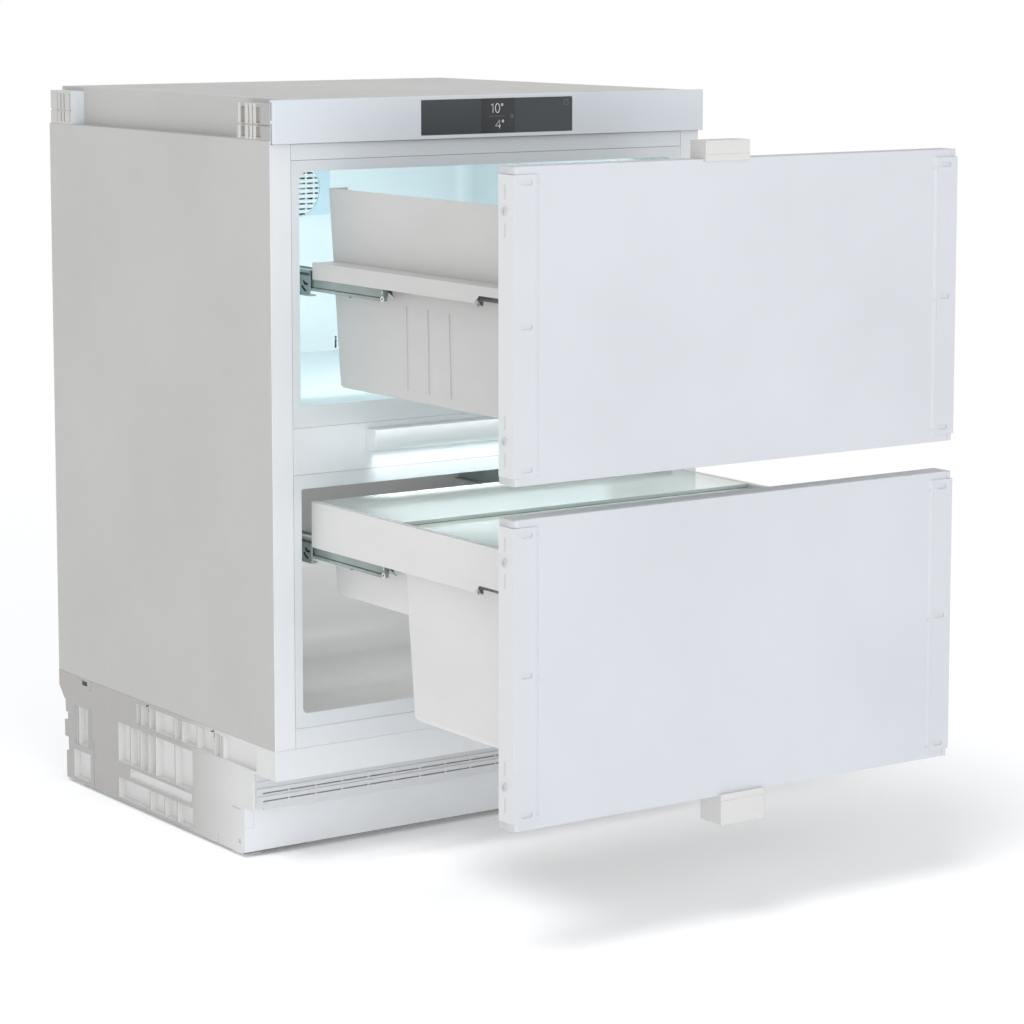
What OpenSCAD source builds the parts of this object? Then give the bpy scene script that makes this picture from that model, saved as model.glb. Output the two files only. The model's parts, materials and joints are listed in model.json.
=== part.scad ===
// Undercounter drawer refrigerator, built in, with both drawers pulled out to the stop.
// Every module draws in the cabinet's own frame: X = 0 is the middle, Y = 0 is the front
// sealing plane with +Y to the rear, and Z = 0 is the floor under the feet. place() moves
// it all along Y, so that the origin is the middle of the whole outline on the floor.

/* [Cabinet] */
// Width over the side panels
body_w = 597; // [590:1:600]
// Depth from the sealing plane to the rear edge
body_d = 538; // [530:1:545]
// Height from the floor to the top cover
total_h = 873.5; // [870:0.5:876]
// Thickness of the steel sheets of the case
sheet_t = 1.2; // [0.8:0.1:1.5]
// Height at which the side panels start
side_z0 = 139.6; // [139:0.1:140]
// Height at which the side panels end
side_z1 = 828.4; // [827:0.1:829]
// Width of the side panels' front returns
return_w = 26.8; // [24:0.1:27]

/* [Compartments] */
// Width of both compartments
cavity_w = 522.8; // [520:0.1:523]
// Depth of the upper compartment to its air duct cover
cavity_d = 450; // [445:1:455]
// Depth of the space for evaporator and fan behind that cover
duct_d = 48; // [44:1:50]
// Wall thickness of the liners
liner_t = 2; // [1.5:0.1:2.5]
// Bottom of the upper opening
upper_z0 = 530.2; // [529:0.1:531]
// Top of the upper opening
upper_z1 = 793.5; // [792:0.1:794]
// Bottom of the lower opening
lower_z0 = 179; // [178:0.1:180]
// Top of the lower opening
lower_z1 = 436.6; // [436:0.1:437]
// Corner radius at the top of the upper opening
opening_r = 12; // [8:1:14]
// Corner radius at the bottom of the lower opening
lower_opening_r = 7; // [5:1:9]
// Distance of the step over the machine compartment from the sealing plane
hump_y = 285; // [284:1:290]
// Height of the top of that step
hump_z = 300; // [290:1:302]

/* [Doors] */
// Width of both doors
door_w = 587; // [584:1:588]
// Height of each door
door_h = 320; // [319:0.5:321]
// Thickness of each door
door_t = 28.4; // [26:0.1:29]
// Bottom edge of the upper door
upper_door_z = 502.4; // [502:0.1:503]
// Bottom edge of the lower door
lower_door_z = 148.3; // [148:0.1:149]
// Distance between the sealing plane and the door's back when it is shut
shut_gap = 12; // [11:0.5:13]
// Travel of each drawer
travel = 426.4; // [424:0.1:427]
// Width of the mounting rails' front flange
rail_w = 27.5; // [25:0.5:30]
// How far the rails stop short of the door's ends
rail_inset = 8; // [6:0.5:10]
// Height between the outer fixing slots of a rail
slot_spacing = 288; // [280:1:290]
// Width of a fixing slot
slot_w = 5.4; // [5:0.1:6]
// Length of a fixing slot
slot_l = 14; // [12:1:16]
// Height between the side screws of a rail
screw_spacing = 231; // [220:1:240]

/* [Drawers] */
// Width over the slide covers of both drawers
drawer_w = 494; // [490:1:494]
// Width of the upper tub at its rim
tub_top_w = 450; // [448:1:450]
// Width of the upper tub at its floor
tub_floor_w = 422; // [415:1:430]
// Height of the upper tub's rim
upper_tub_z1 = 774; // [760:1:780]
// Height of the upper tub's underside
upper_tub_z0 = 548.2; // [545:0.1:555]
// Wall thickness of the tubs
tub_t = 2.5; // [2:0.1:3]
// Lower edge of the upper drawer's slide covers
upper_band_z = 673; // [672:0.5:674]
// Lower edge of the lower drawer's skirt
lower_band_z = 369; // [368:0.5:370]
// Height of the lower tub's rim
lower_rim_z = 421; // [419:0.5:422]
// Underside of the lower tub's shallow rear part
shallow_z = 311; // [308:1:312]
// Underside of the lower tub's deep part
deep_z = 193; // [190:0.5:200]
// Distance of the deep part from the sealing plane with the drawer out
deep_y = 148.7; // [148:0.1:156]
// Depth of the rear pane of the glass cover
lid_d = 177.2; // [160:0.1:180]
// Height to which the rear wall of the upper tub is cut down
low_rear_z = 735; // [720:1:742]

/* [Slides] */
// Length of the members fixed to the cabinet
cabinet_slide_l = 434; // [430:1:436]
// Length of the middle members
middle_slide_l = 366; // [350:1:368]
// How far the middle members stand out when the drawer is open
middle_out = 141; // [138:1:145]
// Sheet thickness of all slide members
slide_t = 1.5; // [1.2:0.1:1.6]

/* [Head] */
// Lower edge of the head fascia
fascia_z = 824.9; // [824.5:0.1:825.5]
// How far the fascia stands in front of the sealing plane
fascia_out = 9.3; // [8:0.1:10]
// Width of the display window
display_w = 210; // [200:1:215]
// Lower edge of the display window
display_z0 = 829.5; // [829:0.1:831]
// Upper edge of the display window
display_z1 = 869.2; // [868:0.1:870]

/* [Base] */
// Lower edge of the upper skirt
skirt_z = 105; // [104:0.5:106]
// Distance of the air grille behind the sealing plane
grille_y = 50; // [48:1:52]
// Distance of the plinth panel behind the sealing plane
plinth_y = 73; // [70:1:76]
// Upper edge of the plinth panel
plinth_z1 = 60; // [58:1:61]
// Free height under the base
base_clear = 4.7; // [4.6:0.1:5]
// Distance of the feet from the middle
foot_x = 278; // [276:1:279]
// Distance of the front feet behind the sealing plane
foot_front_y = 97; // [97:1:100]
// Distance of the rear feet behind the sealing plane
foot_rear_y = 486; // [480:1:490]
// Radius of a foot's threaded stem
stem_r = 5; // [4:0.5:6]

/* [Hidden] */
$fn = 48;

half_w = body_w / 2;
half_cavity = cavity_w / 2;
half_door = door_w / 2;
half_drawer = drawer_w / 2;
door_back = -(travel + shut_gap);
door_front = door_back - door_t;
aid_proud = 2.7;
row_front = door_front - aid_proud;
row_shift = -(row_front + body_d) / 2;
inner_half_w = half_w - return_w;
foam_z0 = side_z0 + sheet_t;
foam_z1 = side_z1 - sheet_t;
seal_lip = 1.6;
upper_flange_z0 = 506;
upper_flange_z1 = 805.8;
lower_flange_z0 = 162.7;
lower_flange_z1 = 452.5;
seam = 0.3;

panel_colour = "#c9c8c5";
front_colour = "#e3e8ec";
door_colour = "#dde0e6";
plastic_colour = "#d6d5d3";
cyan_colour = "#dcf0f4";
grey_liner_colour = "#bcbfbf";
steel_colour = "#93a39f";
dark_steel_colour = "#55585a";
base_colour = "#c6c6c3";
black_colour = "#2c2e31";
copper_colour = "#b87a4b";

// A box given by its extents along X, Y and Z.
module block(x, y, z) {
    translate([x[0], y[0], z[0]]) cube([x[1] - x[0], y[1] - y[0], z[1] - z[0]]);
}

module both_sides() {
    children();
    mirror([1, 0, 0]) children();
}

// Turns a drawing in (x, z) into a solid between two Y planes.
module along_y(y0, y1) {
    rotate([90, 0, 0]) translate([0, 0, -y1]) linear_extrude(y1 - y0) children();
}

// Turns a drawing in (y, z) into a solid between two X planes.
module along_x(x0, x1) {
    translate([x0, 0, 0]) rotate([90, 0, 90]) linear_extrude(x1 - x0) children();
}

module rounded_rect(x, y, r) {
    translate([x[0] + r, y[0]]) square([x[1] - x[0] - 2 * r, y[1] - y[0]]);
    translate([x[0], y[0] + r]) square([x[1] - x[0], y[1] - y[0] - 2 * r]);
    for (cx = [x[0] + r, x[1] - r], cy = [y[0] + r, y[1] - r])
        translate([cx, cy]) circle(r);
}

// An opening of a compartment in (x, z), grown by g, with the corner radii r at its
// bottom and at its top.
module opening_rect(z, r, g) {
    hull()
        for (end = [0, 1], x = [-half_cavity + r[end], half_cavity - r[end]])
            translate([x, z[end] + (1 - 2 * end) * r[end]]) circle(r[end] + g);
}

module cylinder_x(r, x0, x1) {
    translate([x0, 0, 0]) rotate([0, 90, 0]) cylinder(r = r, h = x1 - x0);
}

module cylinder_y(r, y0, y1) {
    translate([0, y1, 0]) rotate([90, 0, 0]) cylinder(r = r, h = y1 - y0);
}

module place() {
    translate([0, row_shift, 0]) children();
}

// ---- Case ------------------------------------------------------------------------

rear_return = 12;

// Side sheet with folded returns at the front, the rear and the top.
module side_panel() {
    color(panel_colour) {
        block([-half_w, -half_w + sheet_t], [0, body_d], [side_z0, side_z1]);
        block([-half_w, -half_w + return_w], [0, sheet_t], [side_z0, side_z1 - 4]);
        block([-half_w, -half_w + rear_return], [body_d - sheet_t, body_d], [side_z0, side_z1]);
        block([-half_w, -head_half_w], [0, body_d], [side_z1 - sheet_t, side_z1]);
    }
}

module left_side_panel() {
    place() side_panel();
}

module right_side_panel() {
    place() mirror([1, 0, 0]) side_panel();
}

machine_z1 = 272;
machine_y = 316;
cover_z0 = 24;
cover_z1 = machine_z1 + 3;
cover_half_w = half_w - rear_return - 1;
rear_half_w = half_w - sheet_t;
rear_sheet_y = [body_d - 2 * sheet_t, body_d - sheet_t];

// Rear sheet, behind the rear returns of the side panels.
module rear_panel() {
    place() color(panel_colour)
        block([-rear_half_w, rear_half_w], rear_sheet_y, [cover_z1 + 1, foam_z1]);
}

vent_columns = 14;
vent_rows = 5;
vent_pitch = 34;
vent_row_pitch = 14;
vent_z0 = 60;

// Louvred cover of the machine compartment at the rear.
module machine_room_cover() {
    place() color(panel_colour)
        along_y(rear_sheet_y[0], rear_sheet_y[1])
            difference() {
                union() {
                    translate([-cover_half_w, cover_z0])
                        square([2 * cover_half_w, cover_z1 - cover_z0]);
                    translate([-rear_half_w, side_z0])
                        square([2 * rear_half_w, cover_z1 - side_z0]);
                }
                for (column = [0 : vent_columns - 1], row = [0 : vent_rows - 1])
                    translate([(column - (vent_columns - 1) / 2) * vent_pitch,
                               vent_z0 + vent_row_pitch * row])
                        square([26, 4], center = true);
                translate(inlet_at) square(inlet_size, center = true);
            }
}

// ---- Liners ----------------------------------------------------------------------

rear_corner_r = 20;
// Radius of the openings' nearly square corners.
square_r = 2;
upper_radii = [square_r, opening_r];
lower_radii = [lower_opening_r, square_r];
floor_fillet = 40;
hump_edge_r = 15;

// The space inside the upper liner, grown by g on every side but the front.
module upper_cavity(g) {
    depth = cavity_d + duct_d;
    intersection() {
        along_y(-1, depth + g)
            opening_rect([upper_z0, upper_z1], upper_radii, g);
        linear_extrude(total_h)
            rounded_rect([-half_cavity - g, half_cavity + g], [-100, depth + g],
                         rear_corner_r + g);
    }
}

// Side outline of the lower liner: floor, fillet, step over the machine compartment.
module lower_outline(g) {
    wall = hump_y + g;
    crest = hump_z - g;
    floor_z = lower_z0 - g;
    r_in = floor_fillet + g;
    r_out = hump_edge_r - g;
    difference() {
        translate([-1, floor_z]) square([cavity_d + g + 1, lower_z1 + g - floor_z]);
        translate([wall + r_out, 0]) square([cavity_d, crest]);
        translate([wall, 0]) square([cavity_d, crest - r_out]);
        translate([wall + r_out, crest - r_out]) circle(r_out);
        difference() {
            translate([wall - r_in, floor_z - 1]) square([r_in + 1, r_in + 1]);
            translate([wall - r_in, floor_z + r_in]) circle(r_in);
        }
    }
}

module lower_cavity(g) {
    intersection() {
        along_y(-1, cavity_d + g)
            opening_rect([lower_z0, lower_z1], lower_radii, g);
        linear_extrude(total_h)
            rounded_rect([-half_cavity - g, half_cavity + g], [-100, cavity_d + g],
                         rear_corner_r + g);
        along_x(-half_w, half_w) lower_outline(g);
    }
}

module upper_liner() {
    place() color(cyan_colour)
        difference() {
            union() {
                intersection() {
                    upper_cavity(liner_t);
                    block([-half_w, half_w], [0, body_d], [0, total_h]);
                }
                block([-inner_half_w + seam, inner_half_w - seam], [0, seal_lip],
                      [upper_flange_z0, upper_flange_z1]);
            }
            upper_cavity(0);
        }
}

module lower_liner() {
    place() color(grey_liner_colour)
        difference() {
            union() {
                intersection() {
                    lower_cavity(liner_t);
                    block([-half_w, half_w], [0, body_d], [0, total_h]);
                }
                block([-inner_half_w + seam, inner_half_w - seam], [0, seal_lip],
                      [lower_flange_z0, lower_flange_z1]);
            }
            lower_cavity(0);
        }
}

foam_front = 18;

// Insulation between the case and the liners, cut away over the machine compartment.
module insulation_foam() {
    place() color("#e8dcae")
        difference() {
            block([-half_w + sheet_t, half_w - sheet_t], [foam_front, body_d - 2 * sheet_t],
                  [foam_z0, foam_z1]);
            upper_cavity(liner_t);
            lower_cavity(liner_t);
            block([-half_w, half_w], [machine_y, body_d], [0, cover_z1]);
        }
}

top_rail_z = [806.1, 824.2];
bottom_rail_z = [side_z0, 162.4];

// A folded cross rail: a front web with a flange at its top and bottom.
module cross_rail(z) {
    x = [-inner_half_w + seam, inner_half_w - seam];
    block(x, [0, sheet_t], z);
    block(x, [0, foam_front], [z[0], z[0] + sheet_t]);
    block(x, [0, foam_front], [z[1] - sheet_t, z[1]]);
}

module front_rails() {
    place() color(front_colour) {
        cross_rail(top_rail_z);
        cross_rail(bottom_rail_z);
    }
}

middle_panel_z = [452.8, 505.7];
lamp_half_w = 175;
lamp_out = 20;
lamp_z = [474, 499];
lamp_r = 9;

module middle_panel() {
    place() color(front_colour)
        difference() {
            cross_rail(middle_panel_z);
            block([-lamp_half_w + 4, lamp_half_w - 4], [-1, sheet_t + 1],
                  [lamp_z[0] + 4, lamp_z[1] - 4]);
        }
}

// Side outline of the lamp bar: a flat top and front, and a rounded lower front edge.
module lamp_outline(inset) {
    front = -lamp_out + inset;
    low = lamp_z[0] + inset;
    r = lamp_r - inset;
    difference() {
        translate([front, low]) square([-front, lamp_z[1] - inset - low]);
        difference() {
            translate([front - 1, low - 1]) square([r + 1, r + 1]);
            translate([front + r, low + r]) circle(r);
        }
    }
}

lens_y = [-10.5, -1.5];
lamp_wall = 1.6;

// Bar between the doors that lights the open lower drawer.
module lamp_housing() {
    place() color(front_colour)
        difference() {
            along_x(-lamp_half_w, lamp_half_w) lamp_outline(0);
            along_x(-lamp_half_w + lamp_wall, lamp_half_w - lamp_wall) lamp_outline(lamp_wall);
            block([-lamp_half_w + 8, lamp_half_w - 8], lens_y,
                  [lamp_z[0] - 1, lamp_z[0] + lamp_wall + 1]);
        }
}

module lamp_lens() {
    place() color("#f4fbff")
        block([-lamp_half_w + 8, lamp_half_w - 8], lens_y, [lamp_z[0], lamp_z[0] + lamp_wall]);
}

// ---- Head ------------------------------------------------------------------------

head_half_w = 280;
cover_t = 2;
clip_count = 6;
spacer_z = [828.5, 868.9];
spacer_cut_z = 845.3;
spacer_front_y = [0, 73];
spacer_rear_y = [480, 533.5];
// Pockets between the spacers' ribs as [start, end], above and below the cut.
front_pockets = [[20, 30], [36, 39], [44, 48], [54, 63]];
rear_pockets = [[481, 484], [496.6, 498.2], [504.9, 506.5], [514.3, 516.6]];

module top_cover() {
    top_z = total_h - cover_t;
    place() color(panel_colour)
        difference() {
            union() {
                block([-head_half_w, head_half_w], [0, body_d], [top_z, total_h]);
                both_sides()
                    block([-head_half_w, -head_half_w + cover_t], [2, body_d],
                          [foam_z1, top_z]);
                block([-head_half_w, head_half_w], [body_d - cover_t, body_d],
                      [foam_z1, top_z]);
            }
            for (i = [0 : clip_count - 1])
                translate([(i - (clip_count - 1) / 2) * 96, 9, top_z - 1])
                    linear_extrude(cover_t + 2) square([22, 3], center = true);
            worktop_holes();
        }
}

worktop_x = 262;
worktop_y = [24, 500];
worktop_r = 2.25;

// Holes in the corners of the top cover for the screws up into a worktop.
module worktop_holes() {
    for (x = [-worktop_x, worktop_x], y = worktop_y)
        translate([x, y, total_h - cover_t - 1]) cylinder(r = worktop_r, h = cover_t + 2);
}

fascia_wall = 2.5;

module head_fascia() {
    place() color(front_colour)
        difference() {
            block([-half_w, half_w], [-fascia_out, 0], [fascia_z, total_h]);
            block([-half_w + fascia_wall, half_w - fascia_wall], [-fascia_out + fascia_wall, 1],
                  [fascia_z + fascia_wall, total_h - fascia_wall]);
            block([-display_w / 2, display_w / 2], [-fascia_out - 1, 0], [display_z0, display_z1]);
        }
}

display_t = 3;

module display_window() {
    place() color(black_colour)
        block([-display_w / 2 + 0.2, display_w / 2 - 0.2],
              [-fascia_out - 0.1, -fascia_out - 0.1 + display_t],
              [display_z0 + 0.2, display_z1 - 0.2]);
}

module_t = 0.7;
board_y = -fascia_out - 0.1 + display_t + module_t;

// Circuit board behind the display window, with its two readout modules and plugs.
module control_board() {
    place() color("#2f6a45")
        block([-98, 98], [board_y, board_y + 1.6],
              [fascia_z + fascia_wall, total_h - fascia_wall]);
    place() color(black_colour)
        for (z = [839, 858], x = [-4, 8])
            block([x - 5, x + 5], [board_y - module_t, board_y], [z - 6, z + 6]);
    place() color(plastic_colour)
        for (x = [-70, -40, 60])
            block([x - 10, x + 10], [board_y + 1.6, board_y + 5], [842, 856]);
}

pocket_t = 3;

// Ribbed distance piece between the side panel and the head.
module corner_spacer(y, pockets) {
    outer = [-half_w - 1, -half_w + pocket_t];
    z = [[spacer_cut_z + 2, spacer_z[1] - 4], [spacer_z[0] + 3, spacer_cut_z - 2]];
    difference() {
        block([-half_w, -head_half_w], y, spacer_z);
        for (level = z, pocket = pockets) block(outer, pocket, level);
        block([-half_w - 1, -half_w + 1.5], [y[0] - 1, y[1] + 1],
              [spacer_cut_z - 0.8, spacer_cut_z + 0.8]);
    }
}

module corner_spacers() {
    place() color(base_colour)
        both_sides() {
            corner_spacer(spacer_front_y, front_pockets);
            corner_spacer(spacer_rear_y, rear_pockets);
        }
}

// ---- Air duct and lights ---------------------------------------------------------

fan_z = 740;
grille_r = 36;
grille_rows = 5;
grille_row_pitch = 6.5;
grille_columns = 3;
grille_column_pitch = 11.6;
grille_web = [2.4, 4.3];
duct_t = 2.5;
drain_x = 60;

module grille_slots() {
    intersection() {
        translate([0, fan_z]) circle(grille_r);
        for (row = [-grille_rows : grille_rows], column = [-grille_columns : grille_columns])
            translate([column * grille_column_pitch, fan_z + row * grille_row_pitch])
                square([grille_column_pitch, grille_row_pitch] - grille_web,
                       center = true);
    }
}

// Cover over evaporator and fan at the rear of the upper compartment.
module air_duct_cover() {
    place() color(cyan_colour)
        union() {
            along_y(cavity_d, cavity_d + duct_t)
                difference() {
                    opening_rect([upper_z0, upper_z1], upper_radii, 0);
                    grille_slots();
                    for (x = [-drain_x, drain_x])
                        translate([x - 1.5, upper_z0 + 3]) square([3, 15]);
                }
            both_sides()
                intersection() {
                    along_y(cavity_d - rear_corner_r, cavity_d)
                        opening_rect([upper_z0, upper_z1], upper_radii, 0);
                    translate([half_cavity - rear_corner_r, cavity_d - rear_corner_r, 0])
                        linear_extrude(total_h)
                            difference() {
                                square(rear_corner_r);
                                circle(rear_corner_r);
                            }
                }
        }
}

fan_y = cavity_d + duct_t;
fan_hub_r = 16;
fan_tip_r = 39;
fan_bore_r = 41.5;
shaft_r = 2;
shaft_gap = 0.05;

// Fan frame along Y: a plate with a round opening, and a motor on three struts behind it.
module fan_frame(size, bore_r, hub_r, depth, corner_r) {
    along_y(0, depth)
        difference() {
            rounded_rect([-size / 2, size / 2], [-size / 2, size / 2], corner_r);
            circle(bore_r);
        }
    difference() {
        union() {
            cylinder_y(hub_r, depth - 8, depth);
            for (a = [90, 210, 330])
                rotate([0, a, 0]) block([0, bore_r + 1], [depth - 4, depth], [-2.5, 2.5]);
        }
        cylinder_y(shaft_r + shaft_gap, depth - 9, depth - 2);
    }
}

// Fan rotor along Y: hub, shaft and pitched blades.
module fan_rotor(hub_r, tip_r, blades, y0, y1, shaft_y) {
    chord = tip_r * 0.62;
    intersection() {
        union() {
            cylinder_y(hub_r, y0, y1);
            for (i = [0 : blades - 1])
                rotate([0, 360 / blades * i, 0])
                    translate([hub_r - 1, (y0 + y1) / 2, 0])
                        rotate([30, 0, 0])
                            translate([0, -0.8, -chord / 2])
                                cube([tip_r - hub_r + 3, 1.6, chord]);
        }
        cylinder_y(tip_r, y0, y1);
    }
    cylinder_y(shaft_r, y1 - 1, shaft_y);
}

module circulation_fan_frame() {
    place() color(plastic_colour)
        translate([0, fan_y, fan_z]) fan_frame(92, fan_bore_r, fan_hub_r, 25, 6);
}

module circulation_fan_rotor() {
    place() color(plastic_colour)
        translate([0, fan_y, fan_z]) fan_rotor(fan_hub_r, fan_tip_r, 7, 1, 16, 22);
}

fin_count = 18;
fin_pitch = 21;
fin_z = [560, 678];

// Finned coil: parallel tubes through a row of fins.
module finned_coil(half_w, fins, pitch, y, z, tubes, tube_r) {
    for (i = [0 : fins - 1])
        translate([(i - (fins - 1) / 2) * pitch, 0, 0]) block([-0.5, 0.5], y, z);
    for (t = tubes) translate([0, t[0], t[1]]) cylinder_x(tube_r, -half_w, half_w);
}

module evaporator() {
    place() color("#c3c9cc")
        finned_coil(half_cavity, fin_count, fin_pitch, [fan_y + 8, cavity_d + duct_d], fin_z,
                    [for (i = [0 : 4]) [fan_y + 19, fin_z[0] + 12 + 23 * i]], 4);
}

module interior_light() {
    place() color("#f2fbff")
        block([-90, 90], [60, 78], [upper_z1 - 2.5, upper_z1]);
}

// ---- Machine compartment ---------------------------------------------------------

comp_at = [80, 424];
comp_r = 74;
comp_z0 = 30;
comp_h = 150;
comp_dome = 30;
plate_z = 8;
plate_t = 1.5;
grommet_x = 92;
grommet_y = 52;

// Hermetic compressor: a domed pot with a weld seam on a foot plate.
module compressor() {
    place() color(black_colour)
        translate([comp_at[0], comp_at[1], 0]) {
            translate([0, 0, comp_z0])
                rotate_extrude($fn = 64) {
                    translate([0, comp_dome]) square([comp_r, comp_h - 2 * comp_dome]);
                    square([comp_r - comp_dome, comp_h]);
                    for (z = [comp_dome, comp_h - comp_dome])
                        intersection() {
                            translate([comp_r - comp_dome, z]) circle(comp_dome);
                            square([comp_r, comp_h]);
                        }
                    translate([0, comp_h / 2 - 3]) square([comp_r + 3, 6]);
                }
            difference() {
                block([-grommet_x - 12, grommet_x + 12], [-grommet_y - 12, grommet_y + 12],
                      [comp_z0 - 3, comp_z0]);
                for (x = [-grommet_x, grommet_x], y = [-grommet_y, grommet_y])
                    translate([x, y, comp_z0 - 4]) cylinder(r = 8.1, h = 6);
            }
            translate([-comp_r - 14, -18, comp_z0 + 40]) cube([20, 36, 44]);
        }
}

module compressor_mounts() {
    place() color("#26282a")
        for (x = [-grommet_x, grommet_x], y = [-grommet_y, grommet_y])
            translate([comp_at[0] + x, comp_at[1] + y, plate_z + plate_t]) {
                cylinder(r = 12, h = comp_z0 - 3 - plate_z - plate_t);
                cylinder(r = 8, h = comp_z0 + 3 - plate_z - plate_t);
            }
}

condenser_y = [112, 196];
coil_half_w = 222;
condenser_z = [plate_z + plate_t, 96];

module condenser() {
    place() color("#3a3d40")
        finned_coil(coil_half_w, 15, 28, condenser_y, condenser_z,
                    [for (y = [130, 154, 178], z = [36, 76]) [y, z]], 3.2);
}

base_fan_size = 118;
base_fan_at = [-120, 232, plate_z + plate_t + base_fan_size / 2];

module condenser_fan_frame() {
    place() color(black_colour)
        translate(base_fan_at) fan_frame(base_fan_size, 55, 20, 25, 8);
}

module condenser_fan_rotor() {
    place() color("#45484b")
        translate(base_fan_at) fan_rotor(20, 52, 5, 1, 16, 22);
}

line_r = 3;

// One straight run of tube between two points, with a ball at its start for the bend.
module tube_run(a, b) {
    d = b - a;
    run = norm(d);
    translate(a) {
        sphere(line_r);
        rotate([0, acos(d[2] / run), atan2(d[1], d[0])]) cylinder(r = line_r, h = run);
    }
}

module tube_path(points) {
    for (i = [0 : len(points) - 2]) tube_run(points[i], points[i + 1]);
    translate(points[len(points) - 1]) sphere(line_r);
}

drier_at = [-60, 330];
drier_z = [60, 150];
out_x = comp_at[0] - 40;
in_x = comp_at[0] + 30;
suction_y = 520;
line_top = cover_z1 - line_r;

// Half the depth of the compressor's pot at a place along X, less the brazed-in end.
function pot_chord(x) = sqrt(comp_r ^ 2 - (x - comp_at[0]) ^ 2) - 1;

// Discharge line to the condenser, liquid line with its filter drier, and suction line.
module refrigerant_lines() {
    place() color(copper_colour) {
        tube_path([[out_x, comp_at[1] - pot_chord(out_x), 120], [out_x, drier_at[1], 120],
                   [out_x, drier_at[1], 30], [out_x, 204, 30],
                   [coil_half_w + 10, 204, 30], [coil_half_w + 10, 154, 36],
                   [coil_half_w, 154, 36]]);
        tube_path([[-coil_half_w, 154, 36], [-coil_half_w - 10, 154, 36],
                   [-coil_half_w - 10, drier_at[1], 36], [drier_at[0], drier_at[1], 36],
                   [drier_at[0], drier_at[1], drier_z[0]]]);
        translate([drier_at[0], drier_at[1], drier_z[0]])
            cylinder(r = 10, h = drier_z[1] - drier_z[0]);
        tube_path([[drier_at[0], drier_at[1], drier_z[1]], [drier_at[0], drier_at[1], line_top]]);
        tube_path([[in_x, comp_at[1] + pot_chord(in_x), 140], [in_x, suction_y, 140],
                   [in_x, suction_y, line_top]]);
    }
}

tray_z = 196;
tray_x = [comp_at[0] - 100, comp_at[0] + 70];
leg_x = [comp_at[0] - grommet_x - 20, comp_at[0] + grommet_x + 20];
leg_y = [380, 400];

// Open tray over the compressor in which the condensate evaporates, on two legs.
module drip_tray() {
    place() color(base_colour) {
        difference() {
            block([tray_x[0], tray_x[1]], [336, 502], [tray_z, tray_z + 32]);
            block([tray_x[0] + 2, tray_x[1] - 2], [338, 500], [tray_z + 2, tray_z + 33]);
        }
        for (x = leg_x)
            block([x - 6, x + 6], leg_y, [plate_z + plate_t, tray_z + 12]);
        block([leg_x[0] + 6, tray_x[0]], leg_y, [tray_z + 4, tray_z + 12]);
        block([tray_x[1], leg_x[1] - 6], leg_y, [tray_z + 4, tray_z + 12]);
    }
}

inlet_at = [-190, 210];
inlet_size = [52, 34];

// Mains inlet: a socket with three pins in the machine compartment's cover.
module power_inlet() {
    y1 = body_d - 0.2;
    floor_y = y1 - 16;
    place() color(black_colour)
        translate([inlet_at[0], 0, inlet_at[1]])
            difference() {
                block([-inlet_size[0] / 2, inlet_size[0] / 2], [y1 - 30, y1],
                      [-inlet_size[1] / 2, inlet_size[1] / 2]);
                block([-12.2, 12.2], [floor_y, y1 + 1], [-8.2, 8.2]);
            }
    place() color(steel_colour)
        translate([inlet_at[0], 0, inlet_at[1]])
            for (p = [[-7, -2], [7, -2], [0, 2]])
                block([p[0] - 1, p[0] + 1], [floor_y, y1 - 3], [p[1] - 2.5, p[1] + 2.5]);
}

// ---- Base ------------------------------------------------------------------------

skirt_t = 12;
pocket_depth = 9;
skirt_ribs = [333, 321, 300, 284, 238, 219, 181, 140, 125, 120];
skirt_top = side_z0;
rib_t = 1.6;
clip_holes = [474, 303, 143];

// A row of pockets between ribs, cut into the outer face of the left side wall.
module rib_pockets(ribs, z, depth) {
    for (i = [0 : len(ribs) - 2])
        block([-half_w - 1, -half_w + depth], [ribs[i + 1] + rib_t / 2, ribs[i] - rib_t / 2], z);
}

module skirt_side() {
    difference() {
        along_x(-half_w, -half_w + skirt_t)
            polygon([[0, skirt_z], [524, skirt_z], [body_d, 121], [body_d, skirt_top],
                     [0, skirt_top]]);
        rib_pockets(skirt_ribs, [skirt_z + 3, skirt_top - 5], pocket_depth);
        block([-half_w - 1, -half_w + 6], [43, 118], [skirt_z + 3, skirt_top - 3]);
        for (y = clip_holes)
            block([-half_w - 1, -half_w + skirt_t - 2], [y - 3, y + 3], [134, 138]);
        block([-half_w - 1, -half_w + 4], [451, 453.5], [126, skirt_top + 1]);
    }
}

// Upper skirt of the base with the deck that carries the cabinet.
module base_frame() {
    x = [-half_w + skirt_t - 1, half_w - skirt_t + 1];
    place() color(base_colour) {
        both_sides() skirt_side();
        block(x, [0, 3], [skirt_z, skirt_top]);
        block(x, [0, machine_y], [skirt_top - 2, skirt_top]);
        block(x, [foam_front, machine_y], [skirt_top - 2, foam_z0]);
        block(x, [0, grille_y + 3], [skirt_z, skirt_z + 2]);
    }
}

side_t = 14;
upper_ribs = [[500, 493, 486, 460, 454, 449], [381, 349, 324, 304, 285, 236, 192]];
lower_ribs = [381, 300, 263, 232, 192];
// Rear edge of the base side, as bands of [lower height, upper height, end].
rear_bands = [[base_clear, 39, 520], [39, 57, 514], [57, 78, 524], [78, 89, 515],
              [89, skirt_z, 521]];
grille_t = 2.5;

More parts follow.
